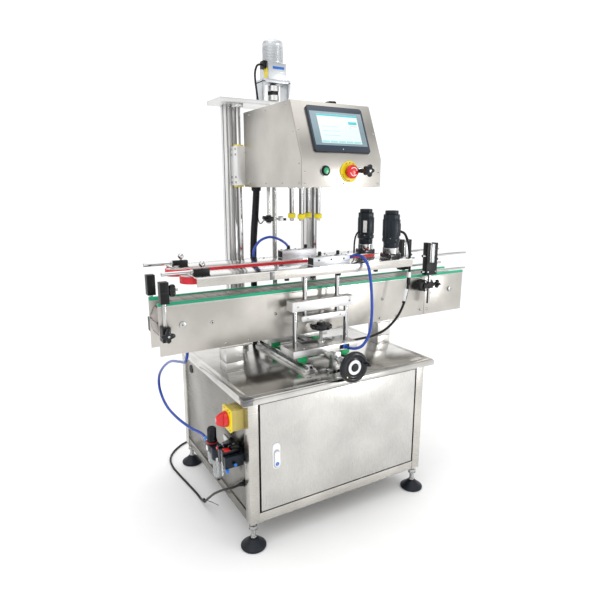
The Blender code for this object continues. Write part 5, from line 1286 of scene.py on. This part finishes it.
def head():
    x0, x1 = HEAD_X
    front = HEAD_Y[0]
    slope = slope_frame()
    parts = [(HEAD, prism("X", head_outline(), x0 + 0.0012, x1 - 0.0012)),
        (HEAD, prism("X", side_panel_outline(), x0 - 0.0004, x0 + 0.0015)),
        (HEAD, prism("X", side_panel_outline(), x1 - 0.0015, x1 + 0.0004))]
    for side, wall in ((-1, x0 - 0.0004), (1, x1 + 0.0004)):
        for y, z in ((-0.272, 1.11), (-0.272, 1.165), (-0.17, 1.11), (-0.06, 1.11), (0.06, 1.11),
                (0.095, 1.215), (0.06, 1.333), (-0.06, 1.333), (-0.195, 1.333), (-0.238, 1.255)):
            parts += screw_head("X", (y, z), wall, wall + side * 0.0014, 0.0029)
    for x in (x0 + 0.01, -0.004, x1 - 0.01):
        parts += screw_head("Y", (x, 1.1085), front, front - 0.0012, 0.0027)
    for x in (x0 + 0.009, x1 - 0.009):
        parts += screw_head("Y", (x, 1.142), front, front - 0.0012, 0.0027)
        parts += [(look, moved(shape, slope)) for look,
            shape in screw_head("Z", (x, 0.085), 0.0, 0.0012, 0.0027)]
    for side in (-1, 1):
        guide_x = LIFT_X + side * GUIDE_OFF
        parts.append((ALU, block(span(guide_x, 0.0185), (0.1, 0.155), (1.104, 1.236))))
        for z in ((1.099, 1.1045), (1.2355, 1.241)):
            parts.append((SOFT_YELLOW, ring("Z", (guide_x, GUIDE_Y), GUIDE_R + 0.0006, 0.0165, z, 32)))
        wall = guide_x + side * 0.0185
        for y in (0.113, 0.146):
            for z in (1.114, 1.132, 1.208, 1.226):
                parts += screw_head("X", (y, z), wall, wall + side * 0.0022, 0.0046)
                parts.append((RECESS_SHADE, rod("X", (y, z), 0.0024, (wall + side * 0.0014, wall + side * 0.0026),
                    12)))
    parts += [(MILLED, block(span(LIFT_X, 0.03), (0.1075, 0.152), (1.12, 1.146))),
        (MILLED, block(span(LIFT_X - 0.0205, 0.0095), (0.15, 0.19), (1.12, 1.146))),
        (MILLED, block(span(LIFT_X + 0.0205, 0.0095), (0.15, 0.19), (1.12, 1.146))),
        (BRASS, ring("Z", (LIFT_X, LIFT_Y), 0.0098, 0.0165, (1.112, 1.1515), 32)),
        (PAINTED_REFLECTION_CHROME, ring("Y", START_AT, 0.0126, 0.0155, (front - 0.0042, front), 40)),
        (BLACK, ring("Y", START_AT, 0.0122, 0.0148, (front - 0.0052, front - 0.004), 40)),
        (YELLOW, ring("Y", STOP_AT, 0.0126, 0.0315, (front - 0.0024, front), 64))]
    for step in range(3):
        angle = math.radians(62.0 + step * 28.0)
        spot = round_from(STOP_AT, 0.0262, angle)
        parts.append((DARK_MARK_AND_PAINTED_REFLECTION, rod("Y", spot, 0.0021, (front - 0.0027, front - 0.0022), 12)))
    for step in range(9):
        angle = math.radians(200.0 + step * 9.0)
        spot = round_from(STOP_AT, 0.0262, angle)
        parts.append((DARK_MARK_AND_PAINTED_REFLECTION, rod("Y", spot, 0.0017, (front - 0.0027, front - 0.0022), 12)))
    parts += [(BLACK, ring("Y", STOP_AT, 0.0124, 0.015, (front - 0.0045, front - 0.0022), 40)),
        (STEEL, ring("Y", KNOB_AT, 0.0072, 0.011, (front - 0.002, front), 32)),
        (GLOSS, star_knob("Z", (0.072, -0.1), 0.0205, 5, 0.006, HEAD_Z[1] + 0.008, HEAD_Z[1] + 0.026)),
        (GLOSS, turned("Z", (0.072, -0.1), [(0.0095, HEAD_Z[1]), (0.008, HEAD_Z[1] + 0.004),
        (0.011, HEAD_Z[1] + 0.01)], 28))]
    arm = (-0.1, 0.02)
    parts += [(STEEL, rod("Z", arm, 0.006, (0.975, HEAD_Z[0]), 28)),
        (BLACK, rod("Z", arm, 0.0095, (0.979, 1.003), 28)),
        (BLACK, block((-0.11, -0.088), (0.006, 0.033), (0.9835, 0.9985))),
        (PAINTED_REFLECTION_CHROME, bar((-0.124, 0.016, 0.996), (-0.06, 0.016, 0.9895), 0.004, 16)),
        (BLACK, bar((-0.124, 0.016, 0.996), (-0.106, 0.016, 0.9942), 0.0062, 20)),
        (CAST, block((-0.062, -0.049), (0.0085, 0.0235), (0.983, 0.9995))),
        (BLACK, block((-0.05, -0.0365), (0.01, 0.022), (0.984, 0.992))),
        (STEEL, bar((-0.112, 0.03, 0.991), (-0.112, 0.034, 0.985), 0.0036, 12))]
    parts += [(BLACK, turned("Z", (-0.115, 0.085), [(0.015, 1.085), (0.0165, 1.087), (0.0165, HEAD_Z[0])],
        32)), (SATIN, block((x0 + 0.01, x1 - 0.01), (-0.275, 0.098), (1.0975, 1.0992)))]
    for x, y, _, _ in spindle_places():
        parts.append((STEEL, ring("Z", (x, y), 0.009, 0.0125, (1.094, 1.0985), 32)))
    piece("head_cabinet", "head", parts, ["head_box"], 0.001)


def spindle_places():
    return [(SPINDLE_X + x * SPINDLE_OFF, PATH_Y + y * SPINDLE_OFF, x, y) for y in (-1, 1) for x in (-1, 1)]


def panel():
    slope = slope_frame()
    x0, x1, low, high = -0.104, 0.096, 0.0148, 0.1608

    def flat(look, x, up, out):
        return (look, moved(block(x, up, out), slope))

    def corner_cut(x, up, cut):
        return [(x[0] + cut, up[0]), (x[1] - cut, up[0]), (x[1], up[0] + cut), (x[1], up[1] - cut),
            (x[1] - cut, up[1]), (x[0] + cut, up[1]), (x[0], up[1] - cut), (x[0], up[0] + cut)]
    parts = [(BEZEL_EDGE, moved(prism("Z", corner_cut((x0, x1), (low, high), 0.006), 0.0004, 0.007), slope)),
        (BEZEL, moved(prism("Z", corner_cut((x0 + 0.0018, x1 - 0.0018), (low + 0.0018, high - 0.0018), 0.005),
        0.0068, 0.0082), slope)), flat(GLASS_EDGE, (x0 + 0.0075, x1 - 0.0075), (low + 0.0205, high - 0.0185),
        (0.008, 0.0086)), flat(SCREEN, (x0 + 0.03, x1 - 0.026), (low + 0.0275, high - 0.0265),
        (0.0084, 0.0089)), flat(CYAN, (x0 + 0.03, x1 - 0.026), (high - 0.0325, high - 0.0268),
        (0.0088, 0.00905)), flat(CYAN, (x1 - 0.062, x1 - 0.031), (high - 0.056, high - 0.047),
        (0.0088, 0.00905)), flat(ORANGE, (x1 - 0.056, x1 - 0.032), (high - 0.0625, high - 0.0612),
        (0.0088, 0.00905)), flat(GREY, (x1 - 0.059, x1 - 0.0575), (high - 0.07, high - 0.063),
        (0.0088, 0.00905))]
    for key in range(5):
        left = x0 + 0.0325 + key * 0.0282
        parts.append(flat(MINT, (left, left + 0.025), (low + 0.029, low + 0.035), (0.0088, 0.00905)))
    for row in range(3):
        parts.append(flat(MINT, (x0 + 0.04, x0 + 0.1), span(low + 0.052 + row * 0.014, 0.0006),
            (0.0088, 0.009)))
    parts.append((LABEL, moved(rod("Z", (-0.004, low + 0.0095), 0.0016, (0.008, 0.0084), 16), slope)))
    piece("touch_panel", "head", parts, ["touch_screen"], 0.0005)


def controls():
    front = HEAD_Y[0]
    piece("start_cap", "start_button", [(BLACK,
        ring("Y", START_AT, 0.0098, 0.0117, (front - 0.01, front + 0.01), 40)),
        (GREEN, turned("Y", START_AT, [(0.0098, front + 0.01), (0.0098, front - 0.0085),
        (0.0085, front - 0.0098), (0.004, front - 0.0104)], 40)),
        (GREEN, ring("Y", START_AT, 0.0055, 0.0066, (front - 0.0106, front - 0.01), 32))], ["start_button"],
        0.0003)
    mushroom = [(0.0112, front + 0.012), (0.0112, front - 0.0105), (0.0185, front - 0.0115),
        (0.02, front - 0.013), (0.02, front - 0.0195), (0.0185, front - 0.0225), (0.0145, front - 0.0245),
        (0.006, front - 0.0258)]
    parts = [(RED, turned("Y", STOP_AT, mushroom, 56))]
    for turn in (0, 1):
        for step in range(9):
            angle = math.radians(turn * 180.0 + 20.0 + step * 14.0)
            spot = round_from(STOP_AT, 0.0118, angle)
            parts.append((WHITE, rod("Y", spot, 0.0014, (front - 0.0256, front - 0.0245), 10)))
    piece("stop_mushroom", "stop_button", parts, ["stop_button"], 0.0003)
    at = KNOB_AT
    piece("head_star_knob", "head_knob",
        [(GLOSS, star_knob("Y", at, 0.0192, 5, 0.006, front - 0.033, front - 0.0515)),
        (BLACK, turned("Y", at, [(0.0064, front + 0.01), (0.0064, front - 0.024), (0.01, front - 0.035)],
        28)), (PAINTED_REFLECTION_CHROME, rod("Y", at, 0.004, (front - 0.0519, front - 0.051), 20))], ["head_knob"], 0.0004)


def gear_outline(centre, teeth, phase):
    pitch = 0.001 * teeth
    tip, root = pitch + 0.0018, pitch - 0.0023
    half = 2.0 * math.pi / teeth
    points = []
    for tooth in range(teeth):
        middle = phase + half * tooth
        for radius, side in ((root, -0.29), (pitch, -0.21), (tip, -0.12), (tip, 0.12), (pitch, 0.21),
                (root, 0.29)):
            angle = middle + side * half
            points.append((centre[0] + radius * math.cos(angle), centre[1] + radius * math.sin(angle)))
    return points


def spindles():
    names = ("spindle_front_left", "spindle_front_right", "spindle_rear_left", "spindle_rear_right")
    for name, (x, y, side_x, side_y) in zip(names, spindle_places()):
        at = (x, y)
        to_middle = math.atan2(-side_y, -side_x)
        wheel = [(0.01, 0.995), (0.0125, 0.9958), (0.013, 0.9975), (0.013, 1.0085), (0.0122, 1.0105),
            (0.01, 1.0112)]
        parts = [(PAINTED_REFLECTION_CHROME, rod("Z", at, 0.008, (1.01, 1.169), 32)), (SOFT_YELLOW, turned("Z", at, wheel, 40)),
            (STEEL, hexagon("Z", at, 0.013, (0.988, 0.9955))),
            (BRASS, prism("Z", gear_outline(at, 18, to_middle), *GEAR_Z))]
        if name == "spindle_rear_left":
            parts.append((BLACK, rod("Z", at, 0.006, (0.9862, 0.99), 24)))
        piece(name + "_unit", name, parts, [name], 0.0003)
    at = (SPINDLE_X, PATH_Y)
    piece("drive_gear_wheel", "drive_gear",
        [(CAST, prism("Z", gear_outline(at, 28, 0.0), *GEAR_Z)),
        (STEEL, rod("Z", at, 0.006, (1.112, 1.19), 24)), (STEEL, rod("Z", at, 0.012, (1.134, 1.142), 32))],
        ["drive_gear"], 0.0003)
    piece("spindle_motor_case", "head",
        [(PAINT, turned("Z", at, [(0.033, BEARING_Z + 0.0053), (0.033, 1.175), (0.036, 1.177), (0.036, 1.262),
        (0.028, 1.27)], 48)), (CAST, turned("Z", at, [(0.0335, 1.166), (0.0335, 1.172)], 48))],
        ["spindle_motor"], 0.0006)


def rear_hose():
    """Short captive hose that arches over the rear cylinder, and the rear motor's and the sensor's leads."""
    arc = smooth_route([(-0.15, 0.04, 0.856), (-0.149, 0.04, 0.884), (-0.128, 0.04, 0.913),
        (-0.092, 0.04, 0.926), (-0.056, 0.04, 0.919), (-0.026, 0.04, 0.902), (-0.013, 0.04, 0.888)], 0.004)
    piece("rear_clamp_hose", "clamp_rear",
        [(BLUE, tube(arc, 0.0045, 14)), (BLACK, rod("Z", (-0.15, 0.04), 0.007, (0.85, 0.86), 20))], (), 0.0)
    lead = smooth_route([(0.2805, 0.008, 0.93), (0.27, 0.006, 0.928), (0.259, 0.004, 0.912),
        (0.254, 0.003, 0.885), (0.2535, 0.003, 0.851)], 0.004)
    piece("rear_motor_lead", "clamp_rear", [(CABLE, tube(lead, 0.0032, 12))], (), 0.0)
    sense = smooth_route([(-0.112, 0.033, 0.986), (-0.117, 0.048, 0.974), (-0.112, 0.075, 0.98),
        (-0.108, 0.092, 1.01), (-0.107, 0.094, 1.06), (-0.106, 0.092, 1.0985)], 0.004)
    piece("sensor_lead", "head", [(CABLE, tube(sense, 0.0018, 10))], (), 0.0)


def connectors():
    """Two pairs of white plug-and-socket shells part-way down the front motor's lead."""
    parts = []
    for at, to in (((0.366, -0.183, 0.796), (0.3625, -0.1865, 0.756)),
            ((0.3555, -0.187, 0.735), (0.346, -0.186, 0.69))):
        start, end = Vector(at), Vector(to)
        middle = start.lerp(end, 0.5)
        parts += [(WHITE, bar(start, middle, 0.0078, 4)),
            (WHITE if at[2] < 0.75 else BLACK, bar(middle, end, 0.007, 4)),
            (BLACK, bar(end, end + (end - start) * 0.18, 0.0062, 12))]
    thing = solid("lead_connectors", parts, 0.0006)
    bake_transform(thing)


lift()
head()
panel()
controls()
spindles()
rear_hose()
connectors()
